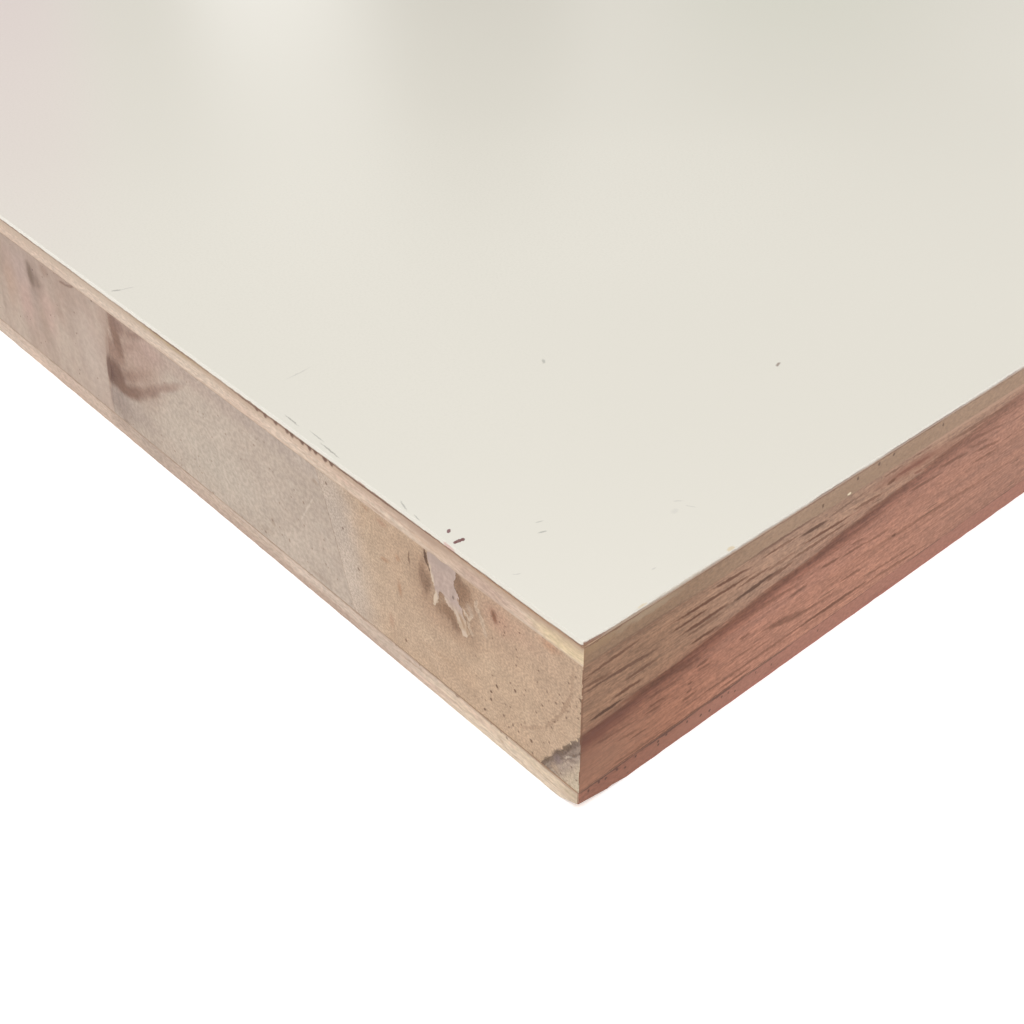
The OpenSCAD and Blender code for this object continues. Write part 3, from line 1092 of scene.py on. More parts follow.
FIRST_STRIP = StripFinish(
    "first_strip_hardwood",
    end="#B79C83",
    end_other="#B1967D",
    end_dark="#A3876D",
    end_light="#BEA58C",
    mottle_mm=0.25,
    mottle=0.32,
    pore="#6E523F",
    pore_mm=0.62,
    pore_share=0.7,
    pore_size=0.2,
    pore_reach=(17.0, 8.0),
    band_turn=-12,
    band_mm=7,
    band_share=0.3,
    ringed=True,
    end_spots=(
        *spots((29.9, 9, 3.1, 10.5, "#B5A597", 0.9, 0.85, -14, 0.5)),
        *dashes(
            (32.6, 15.4, 28.7, 2.3, 0.12, 0.6, "#8F7A68"), (32.3, 12.5, 31.4, 8, 0.6, 0.55, "#B39774"),
            (31.6, 8, 29, 3.6, 0.4, 0.3, "#A5917E"),
        ),
        *spots(
            (21, 7, 6, 3.5, "#B59E88", 0.4), (21.2, 12.4, 2.4, 3.6, "#AA8E75", 0.5),
            (25.2, 9.5, 2, 4.6, "#C0AA93", 0.3), (29, 5.5, 1.6, 2.4, "#C3B2A2", 0.4),
            (17.6, 14.6, 1.8, 1.2, "#A98C72", 0.5), (13.8, 5, 2.4, 1.2, "#AE9177", 0.4),
            (12.6, 11.8, 1.6, 2.6, "#A0836C", 0.4), (3.5, 12.6, 4, 3.2, "#AF937B"),
            (0.9, 9.2, 1.3, 1, "#AC927A", 0.5), (9, 6.5, 3.5, 2.8, "#BCA187", 0.5),
            (8.2, 14.3, 3.4, 1.3, "#B08E78"), (9.3, 12.8, 2.2, 2.6, "#AA8B73", 0.5),
            (13.4, 9.6, 1.9, 1.4, "#A1836A", 0.6, 1, 0, 0.5),
            (17, 9.6, 2.2, 1.7, "#A6876F", 0.55, 1, 0, 0.5),
            (13.1, 12.9, 1.1, 1.5, "#8F7058", 0.65, 1, 0, 0.5),
            (18.4, 12.5, 1.3, 2, "#9C7D64", 0.6, 1, 12, 0.5), (15.4, 9.9, 2, 1.2, "#A0826A", 0.6, 1, 0, 0.5),
            (18.6, 13, 0.4, 1.2, "#80624D", 0.75, 0.9, 10), (18, 12, 0.5, 1.3, "#7A5C47", 0.8, 0.9, 14),
            (16.3, 10.6, 1, 0.7, "#8C6D54", 0.7, 0.9, -10), (15.2, 10.9, 0.8, 0.8, "#82634B", 0.8, 0.8, -40),
            (14.5, 10, 0.5, 0.8, "#7E604A", 0.8, 0.8, -30),
            (16.2, 12.1, 0.5, 0.5, "#8C6D54", 0.75, 0.8, 0, 0.2),
            (14.1, 14.9, 0.5, 0.8, "#836650", 0.8, 0.8), (13.6, 14.3, 0.75, 1, "#785A45", 0.85, 0.8),
            (12.8, 14.4, 0.7, 0.9, "#8C6D55", 0.65, 0.9, 0, 0.5),
            (13.7, 13.3, 0.5, 0.8, "#86674F", 0.7, 0.9),
            (12.1, 13.4, 0.25, 0.8, "#9C7E66", 0.6, 0.9, 5, 0.2),
            (11.3, 13, 0.2, 0.7, "#9C7E66", 0.6, 0.9, 0, 0.2),
        ),
        *dashes(
            (1.1, 14.6, 1.25, 11.6, 0.3, 0.6, "#9F836C"), (1.25, 11.8, 2.3, 9, 0.34, 0.65, "#987B64"),
            (2.2, 9.2, 4.1, 6.2, 0.3, 0.6, "#9A7E67"), (4, 6.4, 6.8, 4.2, 0.3, 0.55, "#9F836C"),
            (13.5, 12.3, 12.7, 11.5, 0.34, 0.8, "#C2AD98"), (12.75, 11.6, 12.35, 12.5, 0.3, 0.7, "#BFA993"),
            (12.9, 11.4, 12.9, 10.6, 0.4, 0.6, "#BFA993"), (12.9, 10.9, 12.4, 10.1, 0.4, 0.5, "#BDA792"),
            (11.8, 14.3, 11.95, 13.4, 0.34, 0.6, "#BDA792"), (11.95, 13.5, 11.4, 13, 0.5, 0.6, "#BDA792"),
            (11.4, 13.1, 11, 11.9, 0.5, 0.6, "#BFA993"), (11.05, 12, 10.8, 11.1, 0.46, 0.5, "#BDA792"),
            (18.08, 15.55, 17.93, 14.2, 0.34, 0.9, "#573C2B"),
            (17.95, 14.4, 17.6, 13.95, 0.24, 0.8, "#573C2B"), (20.17, 14, 20.2, 12.7, 0.14, 0.75, "#72543F"),
        ),
        *spots(
            (12.6, 12.7, 0.4, 0.5, "#B9A390", 0.5, 0.9), (9.4, 13.9, 1.2, 1, "#B28C75", 0.7),
            (9.77, 13.95, 0.34, 0.62, "#7C533C", 0.9, 0.8, -18, 0.2),
            (3.55, 15.2, 0.9, 0.45, "#AE8468", 0.7), (23.6, 11.1, 0.5, 0.22, "#A37C5F", 0.7, 0.9, -15, 0.2),
            (21.7, 12.4, 0.3, 0.3, "#A37C5F", 0.6, 0.9, 0, 0.2),
            (23.7, 14.9, 0.6, 0.26, "#A9826A", 0.6, 0.9, 0, 0.2),
            (25.8, 15.2, 0.4, 0.16, "#9B785F", 0.6, 0.9, 0, 0.2),
            (21.7, 9.1, 0.22, 0.7, "#A37C5F", 0.75, 0.9, -5, 0.2),
            (23.2, 4.6, 0.3, 0.7, "#AB8870", 0.6, 0.9, 0, 0.2),
            (17, 5.1, 1.8, 0.15, "#A68A70", 0.5, 0.9, -4, 0.2),
            (2.6, 4.75, 0.75, 0.24, "#604C3F", 0.85, 0.7, -50, 0.2),
            (1.6, 6, 0.7, 0.2, "#65513F", 0.8, 0.7, -50, 0.2),
            (3.7, 3.1, 0.6, 0.2, "#6B5746", 0.75, 0.7, -50, 0.2),
            (0.9, 5.1, 0.5, 0.16, "#665348", 0.55, 0.8, -35, 0.2),
            (2.5, 4, 0.4, 0.4, "#7D6A68", 0.6, 0.9, 0, 0.2),
            (1.4, 5.15, 0.5, 0.1, "#B5A594", 0.7, 0.8, -40, 0.2),
            (2.7, 2.9, 0.4, 0.3, "#AD947C", 0.6, 0.9, 0, 0.2),
        ),
        *dots(0.16, "#4E3628", 0.9, (17.5, 13.85)),
        *dashes((3.3, 2.7, 2.2, 2.4, 0.12, 0.6, "#94795F")),
        *dots(0.14, PORE, 0.85, *OPEN_PORES[0]),
        *dots(0.11, PORE, 0.65, *OPEN_PORES[1]),
        *dots(0.11, PORE, 0.55, *OPEN_PORES[2]),
        *dots(0.1, PORE, 0.5, *OPEN_PORES[3]),
        *dots(0.14, "#6E523F", 0.75, (31.3, 14.7), (27.5, 7.6), (21.3, 3.6), (29.4, 11)),
        *dots(0.11, "#CDB497", 0.7, (1.2, 6.8), (0.5, 7.7)),
    ),
    side_spots=(
        *spots(
            (3, 3.9, 4.6, 2.3, "#A27F6C", 0.45), (0.5, 5.6, 1.8, 1.6, "#936B59"),
            (1.5, 7.5, 4.2, 0.9, "#73473A", 0.75, 0.9, 5), (40, 14.1, 5, 0.6, "#865846", 0.75, 0.9, -3),
            (33, 13, 2, 0.3, "#8A5C4A", 0.3, 0.9, 3),
        ),
        *dashes(
            (0.12, 2.3, 0.12, 15.5, 0.22, 0.5, "#7D5B48"), (0.3, 15.54, 17, 15.54, 0.1, 0.5, "#7C5A48"),
            (17, 15.52, 26, 15.52, 0.14, 0.45, "#6A4636"), (0.3, 2.2, 25, 2.2, 0.1, 0.6, "#5F4032"),
            (0.5, 14.3, 6, 14.6, 0.26, 0.7), (0.3, 13.4, 3, 13.1, 0.3, 0.55),
            (0.3, 12.75, 2.4, 12.75, 0.24, 0.65, "#5C3A2C"), (2, 12.8, 8, 12.4, 0.32, 0.7, "#5C3A2C"),
            (4.5, 11.3, 8, 11.3, 0.28, 0.65), (3.3, 10.25, 6.5, 10.25, 0.28, 0.8),
            (1, 9.45, 4.3, 9.45, 0.32, 0.85, CUT_PORE_DARK), (9.5, 14.05, 18.5, 13.8, 0.22),
            (9.5, 13.15, 13.5, 13.15, 0.22), (14, 14.9, 18.3, 14.6, 0.26), (17, 13.3, 21, 13.3, 0.22, 0.7),
            (10.8, 12.15, 16, 12.15, 0.3), (11.5, 11.6, 15.5, 11.6, 0.26, 0.5),
            (16.5, 12, 22, 12.25, 0.34, 0.85, CUT_PORE_DARK), (11.8, 10.45, 15, 10.45, 0.24),
            (20.3, 14.8, 24, 14.7, 0.24, 0.6), (24.5, 14.4, 28, 14.25, 0.32, 0.85, CUT_PORE_DARK),
            (28, 14.5, 33, 14.7, 0.22, 0.45, CUT_PORE_DARK), (20.5, 13, 24, 13.1, 0.3, 0.5),
            (25, 13.35, 31, 13.1, 0.26), (20.5, 11.9, 24, 12.1, 0.36, 0.7),
            (23.5, 12.45, 31, 12.45, 0.28, 0.65), (31.5, 13.5, 35.5, 13.3, 0.24, 0.6),
            (36, 13.85, 37.2, 13.95, 0.28, 0.8), (37, 14.15, 42, 14, 0.3, 0.8, "#7A4C3C"),
            (35, 15.05, 38, 15, 0.2, 0.45), (39, 15.2, 42, 15.1, 0.18, 0.5),
            (40, 13.1, 41.2, 12.95, 0.24, 0.7, "#7A4C3C"), (2, 15.3, 12, 15.3, 0.2, 0.35, "#7C5A48"),
            (38, 15.35, 70, 15.2, 0.3, 0.75, "#B2907A"), (13, 3.5, 30, 3.45, 0.22, 0.55),
            (3, 2.6, 11, 2.5, 0.18, 0.4), (16, 2.75, 20, 2.75, 0.22, 0.6), (31, 8.7, 34.3, 8.5, 0.24, 0.65),
            (34, 8.4, 38, 8.2, 0.26, 0.5), (32, 9.5, 34, 9.2, 0.2, 0.5), (33, 7.2, 57, 6, 0.4, 0.35),
            (38.4, 7, 39, 6.9, 0.26, 0.7, CUT_PORE_DARK), (24, 5.2, 28, 4.95, 0.4, 0.5),
            (27, 5, 31, 4.8, 0.26, 0.4), (22, 2.95, 36, 2.9, 0.26, 0.25), (17.5, 9.3, 25.5, 9, 0.4, 0.4),
            (40, 11.2, 44.5, 10.9, 0.32, 0.6), (41, 13.25, 45, 12.95, 0.22, 0.35),
            (45, 14.2, 55, 13.9, 0.34, 0.5), (21, 6.2, 24.5, 6, 0.34, 0.5),
            (31.5, 5.7, 34.5, 5.5, 0.24, 0.6), (35, 4.1, 43, 3.6, 0.24, 0.5), (27, 3.45, 35, 3.3, 0.32, 0.8),
            (35, 3.1, 44, 2.65, 0.26, 0.5), (48, 12.6, 54, 11.9, 0.3, 0.45),
            (44, 11.7, 48.5, 11.3, 0.3, 0.6), (49, 11.6, 52, 11.2, 0.26, 0.5),
            (50, 10.7, 54, 10.1, 0.28, 0.55), (50, 9.45, 54, 9.1, 0.26, 0.5), (22, 5.9, 26.5, 5.3, 0.6, 0.6),
            (1.5, 6.4, 5.5, 6.1, 0.2, 0.4), (7.4, 6.45, 9.4, 6.3, 0.2, 0.6), (13, 6.8, 14.6, 6.7, 0.22, 0.5),
            (5.5, 4.2, 7.5, 4.1, 0.2, 0.5), (4, 5.1, 6.5, 4.7, 0.22, 0.4), (17, 5.2, 21, 5, 0.2, 0.4),
            (10.5, 8.3, 13.5, 8.1, 0.26, 0.5), (24, 8.1, 26.5, 8.2, 0.28, 0.65),
            (28, 9.05, 30.5, 8.85, 0.28, 0.65), (12.9, 7.3, 14.4, 7.3, 0.3, 0.65),
            (18, 7.1, 19.4, 7, 0.26, 0.65), (7.3, 7.5, 11, 7.3, 0.24, 0.45), (7, 5.9, 9, 5.8, 0.22, 0.5),
            (12, 6, 12.6, 6, 0.24, 0.65), (11.9, 5.1, 12.6, 5.1, 0.24, 0.65),
            (11.5, 4.45, 13.3, 4.4, 0.22, 0.6),
        ),
    ),
    seed=1.0,
)

SECOND_STRIP = StripFinish(
    "second_strip_hardwood",
    end="#B6A697",
    end_other="#B09F90",
    end_dark="#A08E7F",
    end_light="#BDAE9F",
    mottle_mm=0.5,
    mottle=0.2,
    pore="#8A7462",
    pore_mm=0.8,
    pore_share=0.3,
    pore_size=0.18,
    band_turn=35,
    band_mm=8,
    band_share=0.3,
    end_spots=(
        *spots(
            (51, 6, 7, 3.5, "#B6A99A"), (43.5, 15.2, 14, 1.1, "#A39287"),
            (33.4, 3.4, 1.8, 1.8, "#AA998A", 0.5), (55.5, 12, 3, 2.4, "#AB9A8B", 0.4),
            (56, 14.8, 9, 1.2, "#A89082", 0.5), (64, 12, 5.4, 4.4, "#A38979", 0.9, 0.7, -20, 0.5),
            (60.2, 14.4, 2.4, 1.4, "#AB9084", 0.65, 0.9), (69.4, 12.6, 1, 2.6, "#9F8676", 0.8, 0.8),
            (63.2, 12.4, 1.8, 1, "#A78D80", 0.6, 0.9), (69, 4.7, 2.6, 2.2, "#8E7C72", 0.85, 0.9),
            (65, 4.9, 2.6, 1.4, "#A08F83", 0.7), (67.1, 13.2, 0.95, 2.9, "#7A5B4A", 0.9, 0.6, -10),
            (66.4, 14.7, 1.2, 1, "#7C5E50", 0.8, 0.7), (68.3, 10.6, 1.5, 1.7, "#866757", 0.8, 0.8, -10),
            (65.6, 9.1, 1.8, 0.7, "#806252", 0.7, 0.9, -25), (63.2, 10.5, 2, 0.5, "#8A6C5E", 0.4, 1, -30),
            (64.6, 13, 1.7, 0.45, "#8A6D60", 0.45, 1, -30), (68.9, 8.1, 2.2, 1.6, "#6C4E40", 0.95, 0.6),
            (70, 7.4, 0.9, 1.2, "#5D4136", 0.9, 0.7), (67, 6.9, 2.6, 0.8, "#735545", 0.9, 0.7, -8),
            (64.8, 7.6, 2.1, 0.75, "#7A5C4D", 0.85, 0.8, -22),
            (61.6, 9.2, 2.2, 0.55, "#836556", 0.75, 0.9, -30),
            (58.6, 11.1, 2.1, 0.4, "#8C6F61", 0.65, 0.9, -30),
            (56.2, 12.4, 1.8, 0.4, "#967B6C", 0.6, 0.9, -28),
            (62.9, 15.1, 1.6, 0.3, "#7C5E50", 0.6, 0.9, -16, 0.2), (65.4, 14.9, 2, 0.8, "#876B5E", 0.5),
            (68.4, 2.3, 0.5, 0.22, "#846F62", 0.7, 0.9, 0, 0.2),
            (32.9, 13.9, 0.4, 0.22, "#96806D", 0.6, 0.9, 0, 0.2),
            (33.6, 2.8, 1.4, 0.25, "#A39080", 0.6, 0.9, 0, 0.2),
            (41, 4.9, 0.3, 0.5, "#A28F7D", 0.7, 0.9, 0, 0.2),
            (42.3, 3.3, 1.2, 0.4, "#A69484", 0.6, 0.9, -15),
        ),
        *dashes((33.5, 12, 36, 8, 0.12, 0.5, "#C3B4A4")),
        *dots(0.14, "#7E6655", 0.7, (41, 5.1), (42.5, 2.8), (51.8, 2.2), (35.2, 10.4), (38.4, 4.3)),
    ),
    seed=21.0,
)

THIRD_STRIP = StripFinish(
    "third_strip_hardwood",
    end="#AF9C8D",
    end_other="#A99182",
    end_dark="#988273",
    end_light="#B4A192",
    mottle_mm=0.8,
    mottle=0.12,
    pore_share=0.08,
    band_turn=86,
    band_mm=3.2,
    band_share=0.5,
    end_spots=(
        *spots(
            (73.5, 8, 3, 5.5, "#B6A497", 0.6, 0.8), (69.8, 8.2, 0.66, 4.8, "#9A8172", 0.9, 0.35, 11.3, 0.1),
            (69.9, 8, 0.6, 1.9, "#664A3D", 0.9, 0.5, 11.3, 0.1),
            (70.5, 4.6, 0.4, 1.6, "#948278", 0.8, 0.6, 11.3, 0.1), (82, 15.6, 9, 2.6, "#A08A7C", 0.75, 0.9),
            (87.5, 12.5, 3.5, 2.6, "#A9938A", 0.6, 0.9), (82.4, 9.6, 1.4, 2.8, "#B4988B", 0.65, 0.9),
            (81, 13, 2, 1.4, "#A28E80", 0.4), (89.5, 15, 2, 1, "#A08C7E", 0.5),
            (88.2, 8, 1.6, 2.6, "#B3968A", 0.7, 0.9, 20), (91.5, 9, 1.2, 3.4, "#AB8E7C", 0.6, 0.9, 20),
            (77.5, 10.4, 0.6, 3.2, "#A08C7E", 0.6, 0.9, 12), (80.2, 6, 1.8, 2.8, "#B8A798", 0.5, 0.9),
            (85.8, 8.6, 0.9, 3, "#A08C80", 0.55, 0.9, 12), (81.4, 14.8, 0.9, 0.6, "#94796A", 0.6, 0.9),
            (84.6, 12.7, 1.5, 1.7, "#8E786B", 0.75, 0.9), (85.3, 12.7, 0.6, 1.5, "#6F5A4B", 0.85, 0.8),
            (84.2, 12.4, 0.9, 0.7, "#7F6A5C", 0.6, 0.9),
        ),
        *dashes(
            (78.1, 14.9, 76.4, 15.05, 0.3, 0.75, "#7E6354"), (76.6, 15.05, 74.8, 15.5, 0.26, 0.7, "#7E6354"),
        ),
    ),
    seed=33.0,
)

OTHER_STRIPS = (
    StripFinish("tan_strip_hardwood", "#B3967C", "#AB8E75", "#92725A", "#BEA389", seed=41.0, band_turn=-25),
    StripFinish("grey_strip_hardwood", "#B2A191", "#A99685", "#8E7A69", "#BBAA99", seed=52.0, band_turn=40),
    StripFinish(
        "pink_strip_hardwood", "#B19486", "#A58678", "#8C6E60", "#B9A091", seed=63.0, band_turn=70, band_mm=4
    ),
    StripFinish(
        "pale_strip_hardwood", "#BDA791", "#B49C85", "#9D836B", "#C5B19C", seed=74.0, band_turn=10, band_mm=8
    ),
    StripFinish(
        "brown_strip_hardwood",
        *("#A98B73", "#9F8069", "#876850", "#B3967D"),
        seed=85.0,
        band_turn=55,
        band_mm=5,
    ),
)


# -----------------------------------------------------------------------------
# Modelling
# -----------------------------------------------------------------------------


def deselect() -> None:
    """Goes back to object mode, with nothing selected."""
    if bpy.context.object and bpy.context.object.mode != "OBJECT":
        bpy.ops.object.mode_set(mode="OBJECT")
    bpy.ops.object.select_all(action="DESELECT")


def pick(piece: bpy.types.Object, kind: str, test: Callable[[Any], bool]) -> None:
    """Selects parts of the mesh that is in edit mode.

    Args:
        piece: The object in edit mode.
        kind: EDGE or FACE.
        test: Says whether one of them is selected.
    """
    bpy.ops.mesh.select_mode(type=kind)
    bpy.ops.mesh.select_all(action="DESELECT")
    shape = bmesh.from_edit_mesh(piece.data)
    parts = {"EDGE": shape.edges, "FACE": shape.faces}[kind]
    for part in [part for part in parts if test(part)]:
        part.select_set(True)
    bmesh.update_edit_mesh(piece.data)


def place_of(part: Any) -> list[Vector]:
    """Gives the corners of an edge or face, or the one place of a vertex, in the sheet's own mm."""
    corners = getattr(part, "verts", (part,))
    return [(corner.co - SHEET.low) / MM for corner in corners]


def on_plane(part: Any, axis: int, value: float) -> bool:
    """Says whether all of a part lies on a plane across an axis, to a hundredth of a mm.

    Args:
        part: A vertex, edge or face.
        axis: The axis that the plane is square to.
        value: Where the plane is, in the sheet's own mm.

    Returns:
        True if it does.
    """
    return all(abs(corner[axis] - value) < ON_PLANE_MM for corner in place_of(part))


def push(
    piece: bpy.types.Object,
    weigh: Callable[[Vector], float],
    toward: str,
    deep_mm: float,
    lump_mm: float = 0.0,
) -> None:
    """Pushes some of a piece's points along an axis, evenly or by noise, one way only.

    Args:
        piece: The piece, active and in object mode.
        weigh: Gives the share of the push for a place, in the sheet's own mm.
        toward: The axis along which they are pushed, X, Y or Z.
        deep_mm: How far the push goes at most, in mm.
        lump_mm: The size of the noise's lumps, in mm; 0 for an even push.
    """
    side = piece.vertex_groups.new(name="side")
    for vertex in piece.data.vertices:
        side.add([vertex.index], float(weigh(place_of(vertex)[0])), "REPLACE")
    uneven = piece.modifiers.new("hollows", "DISPLACE")
    if lump_mm:
        cloud = bpy.data.textures.new(f"{piece.name}_hollows", "CLOUDS")
        cloud.noise_scale = lump_mm * MM
        cloud.noise_depth = 2
        uneven.texture = cloud
        uneven.texture_coords = "GLOBAL"
    uneven.vertex_group = "side"
    uneven.direction = toward
    uneven.mid_level = 0.0
    uneven.strength = deep_mm * MM
    bpy.ops.object.modifier_apply(modifier="hollows")
    piece.vertex_groups.remove(piece.vertex_groups["side"])


def dress(
    piece: bpy.types.Object,
    materials: tuple[bpy.types.Material, ...],
    nodes: tuple[str, ...] = (),
) -> bpy.types.Object:
    """Shades a piece, gives it its materials and ties it to the frame.

    Args:
        piece: The piece, in object mode.
        materials: Its material, or its end grain's and its long grain's.
        nodes: The CAD nodes that it stands for.

    Returns:
        The piece.
    """
    deselect()
    piece.select_set(True)
    bpy.context.view_layer.objects.active = piece
    bpy.ops.object.shade_smooth_by_angle(angle=math.radians(SMOOTH_UNDER_DEG))
    piece.data.materials.clear()
    for material in materials:
        piece.data.materials.append(material)
    for face in piece.data.polygons:
        face.material_index = int(len(materials) > 1 and abs(face.normal.y) > LONG_GRAIN_OVER)
    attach(piece, BODY)
    if nodes:
        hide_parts(*nodes)
    log.info("%s: %d faces", piece.name, len(piece.data.polygons))
    return piece


@dataclass
class Skin:
    """A thin sheet over one side of the core: the laminate or a veneer.

    Attributes:
        node: The CAD node that it stands for.
        name: Its name.
        slot: The name of a material slot, which is not used.
        finish: Its finish.
        ease_mm: How wide its broken arris is.
        ease_side: Which of its heights has that arris: 0 below, 1 above.
        hollow_mm: How deep its sides' unevenness is.
        lump_mm: How long its unevenness is.
        fine_mm: How far from the near corner its edges are fine.
        step_mm: The spacing of the points on those edges.
        corner_mm: The radius of its upright edge at the near corner.
        torn_mm: How far its lower arris is torn away at most.
        torn_in_mm: How far in from a side that tear reaches.
        back_mm: How far its long side stands back at the near corner.
        back_reach_mm: How far along the side that fades out.
        back_in_mm: How far in from the side it moves points.
        inset_mm: How far its whole long side stands back.
        wear: For a worn lower corner, how far it reaches along, across and up.
    """

    node: str
    name: str
    slot: str
    finish: Any
    ease_mm: float = 0.05
    ease_side: int = 1
    hollow_mm: float = 0.05
    lump_mm: float = 1.2
    fine_mm: float = 110.0
    step_mm: float = 0.5
    corner_mm: float = 0.2
    torn_mm: float = 0.0
    torn_in_mm: float = 0.5
    back_mm: float = 0.0
    back_reach_mm: float = 2.2
    back_in_mm: float = 0.4
    inset_mm: float = 0.0
    wear: tuple[float, float, float] | None = None

    def build(self) -> bpy.types.Object:
        """Models and dresses the sheet.

        Returns:
            The sheet.
        """
        piece = self.start()
        bottom, top = SHEET.height(self.node, 0), SHEET.height(self.node, 1)
        if self.wear:
            self.wear_corner(piece)
        pick(piece, "EDGE", self.is_rounded)
        bpy.ops.mesh.bevel(offset=self.corner_mm * MM, segments=6, affect="EDGES")
        for near in NARROW:
            self.split_side(piece, near)
        height = (bottom, top)[self.ease_side]
        pick(piece, "EDGE", lambda e: on_plane(e, 2, height) and len(e.link_faces) == 2 and self.is_arris(e))
        bpy.ops.mesh.bevel(offset=self.ease_mm * MM, segments=2, affect="EDGES")
        deselect()
        piece.select_set(True)
        for near in NARROW:
            axis = near.axis
            push(piece, lambda at: at[axis] < NEAR_SIDE_MM, "XY"[axis], self.hollow_mm, self.lump_mm)
        if self.back_mm:
            reach, depth = self.back_reach_mm, self.back_in_mm
            push(piece, lambda at: (at.y < depth) * max(0.0, 1 - at.x / reach), "Y", self.back_mm)
        if self.inset_mm:
            push(piece, lambda at: at.y < NEAR_SIDE_MM, "Y", self.inset_mm)
        if self.torn_mm:
            low, depth = bottom + NEAR_SIDE_MM, self.torn_in_mm
            push(piece, lambda at: at.z < low and min(at.x, at.y) < depth, "Z", self.torn_mm, self.lump_mm)
        return dress(piece, (self.finish.material(),), (self.node,))

    def is_rounded(self, edge: Any) -> bool:
        """Says whether an edge is the upright one at the near corner, or borders the worn corner.

        Args:
            edge: The edge.

        Returns:
            True if it is.
        """
        if any(SLANT[0] < abs(face.normal.x) < SLANT[1] for face in edge.link_faces):
            return True
        return on_plane(edge, 0, 0.0) and on_plane(edge, 1, 0.0)

    def start(self) -> bpy.types.Object:
        """Adds a block of the node's size and place, and leaves it in edit mode.

        Returns:
            The block.
        """
        low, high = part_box(self.node)
        low, high = Vector(low), Vector(high)
        deselect()
        bpy.ops.mesh.primitive_cube_add(size=1, location=(low + high) / 2, scale=high - low)
        bpy.ops.object.transform_apply(location=True, rotation=True, scale=True)
        piece = bpy.context.active_object
        piece.name = piece.data.name = self.name
        bpy.ops.object.mode_set(mode="EDIT")
        return piece

    def is_arris(self, edge: Any) -> bool:
        """Says whether an edge is between a broad face and a narrow one."""
        slopes = sorted(abs(face.normal.z) for face in edge.link_faces)
        return slopes[0] < 0.5 < slopes[1]

    def wear_corner(self, piece: bpy.types.Object) -> None:
        """Cuts the worn corner off with one slanted plane.

        Args:
            piece: The sheet, in edit mode.
        """
        along, across, up = self.wear
        slant = Vector((1 / along, 1 / across, 1 / up)).normalized()
        bpy.ops.mesh.select_all(action="SELECT")
        start = SHEET.point(0, 0, up)
        bpy.ops.mesh.bisect(
            plane_co=start, plane_no=slant, use_fill=True, clear_inner=True, threshold=BISECT_M
        )

    def split_side(self, piece: bpy.types.Object, near: Face) -> None:
        """Gives a narrow side at the near corner its fine points, and coarser ones beyond.

        Args:
            piece: The sheet, in edit mode.
            near: Which of the two sides.
        """
        across, along = near.axis, 1 - near.axis
        fine, coarse = self.fine_mm, 4 * self.fine_mm
        for stop in (fine, coarse):
            pick(piece, "FACE", lambda f: on_plane(f, across, 0.0))
            cut = SHEET.point(*[stop if axis == along else 0.0 for axis in range(3)])
            square = [float(axis == along) for axis in range(3)]
            bpy.ops.mesh.bisect(plane_co=cut, plane_no=square, threshold=BISECT_M)
        for low, high, step in ((0.0, fine, self.step_mm), (fine, coarse, 8 * self.step_mm)):
            pick(piece, "EDGE", lambda e: self.runs_along(e, across, along, low, high))
            bpy.ops.mesh.subdivide(number_cuts=round((high - low) / step) - 1)

    def runs_along(self, edge: Any, across: int, along: int, low: float, high: float) -> bool:
        """Says whether an edge of a narrow side runs along it, within a stretch.

        Args:
            edge: The edge.
            across: The axis that the side faces along.
            along: The axis that the side runs along.
            low: Where the stretch starts, in mm.
            high: Where it ends, in mm.

        Returns:
            True if it does.
        """
        ends = place_of(edge)
        inside = all(low - ON_PLANE_MM < end[along] < high + ON_PLANE_MM for end in ends)
        return inside and on_plane(edge, across, 0.0) and abs(ends[0][along] - ends[1][along]) > LONG_EDGE_MM


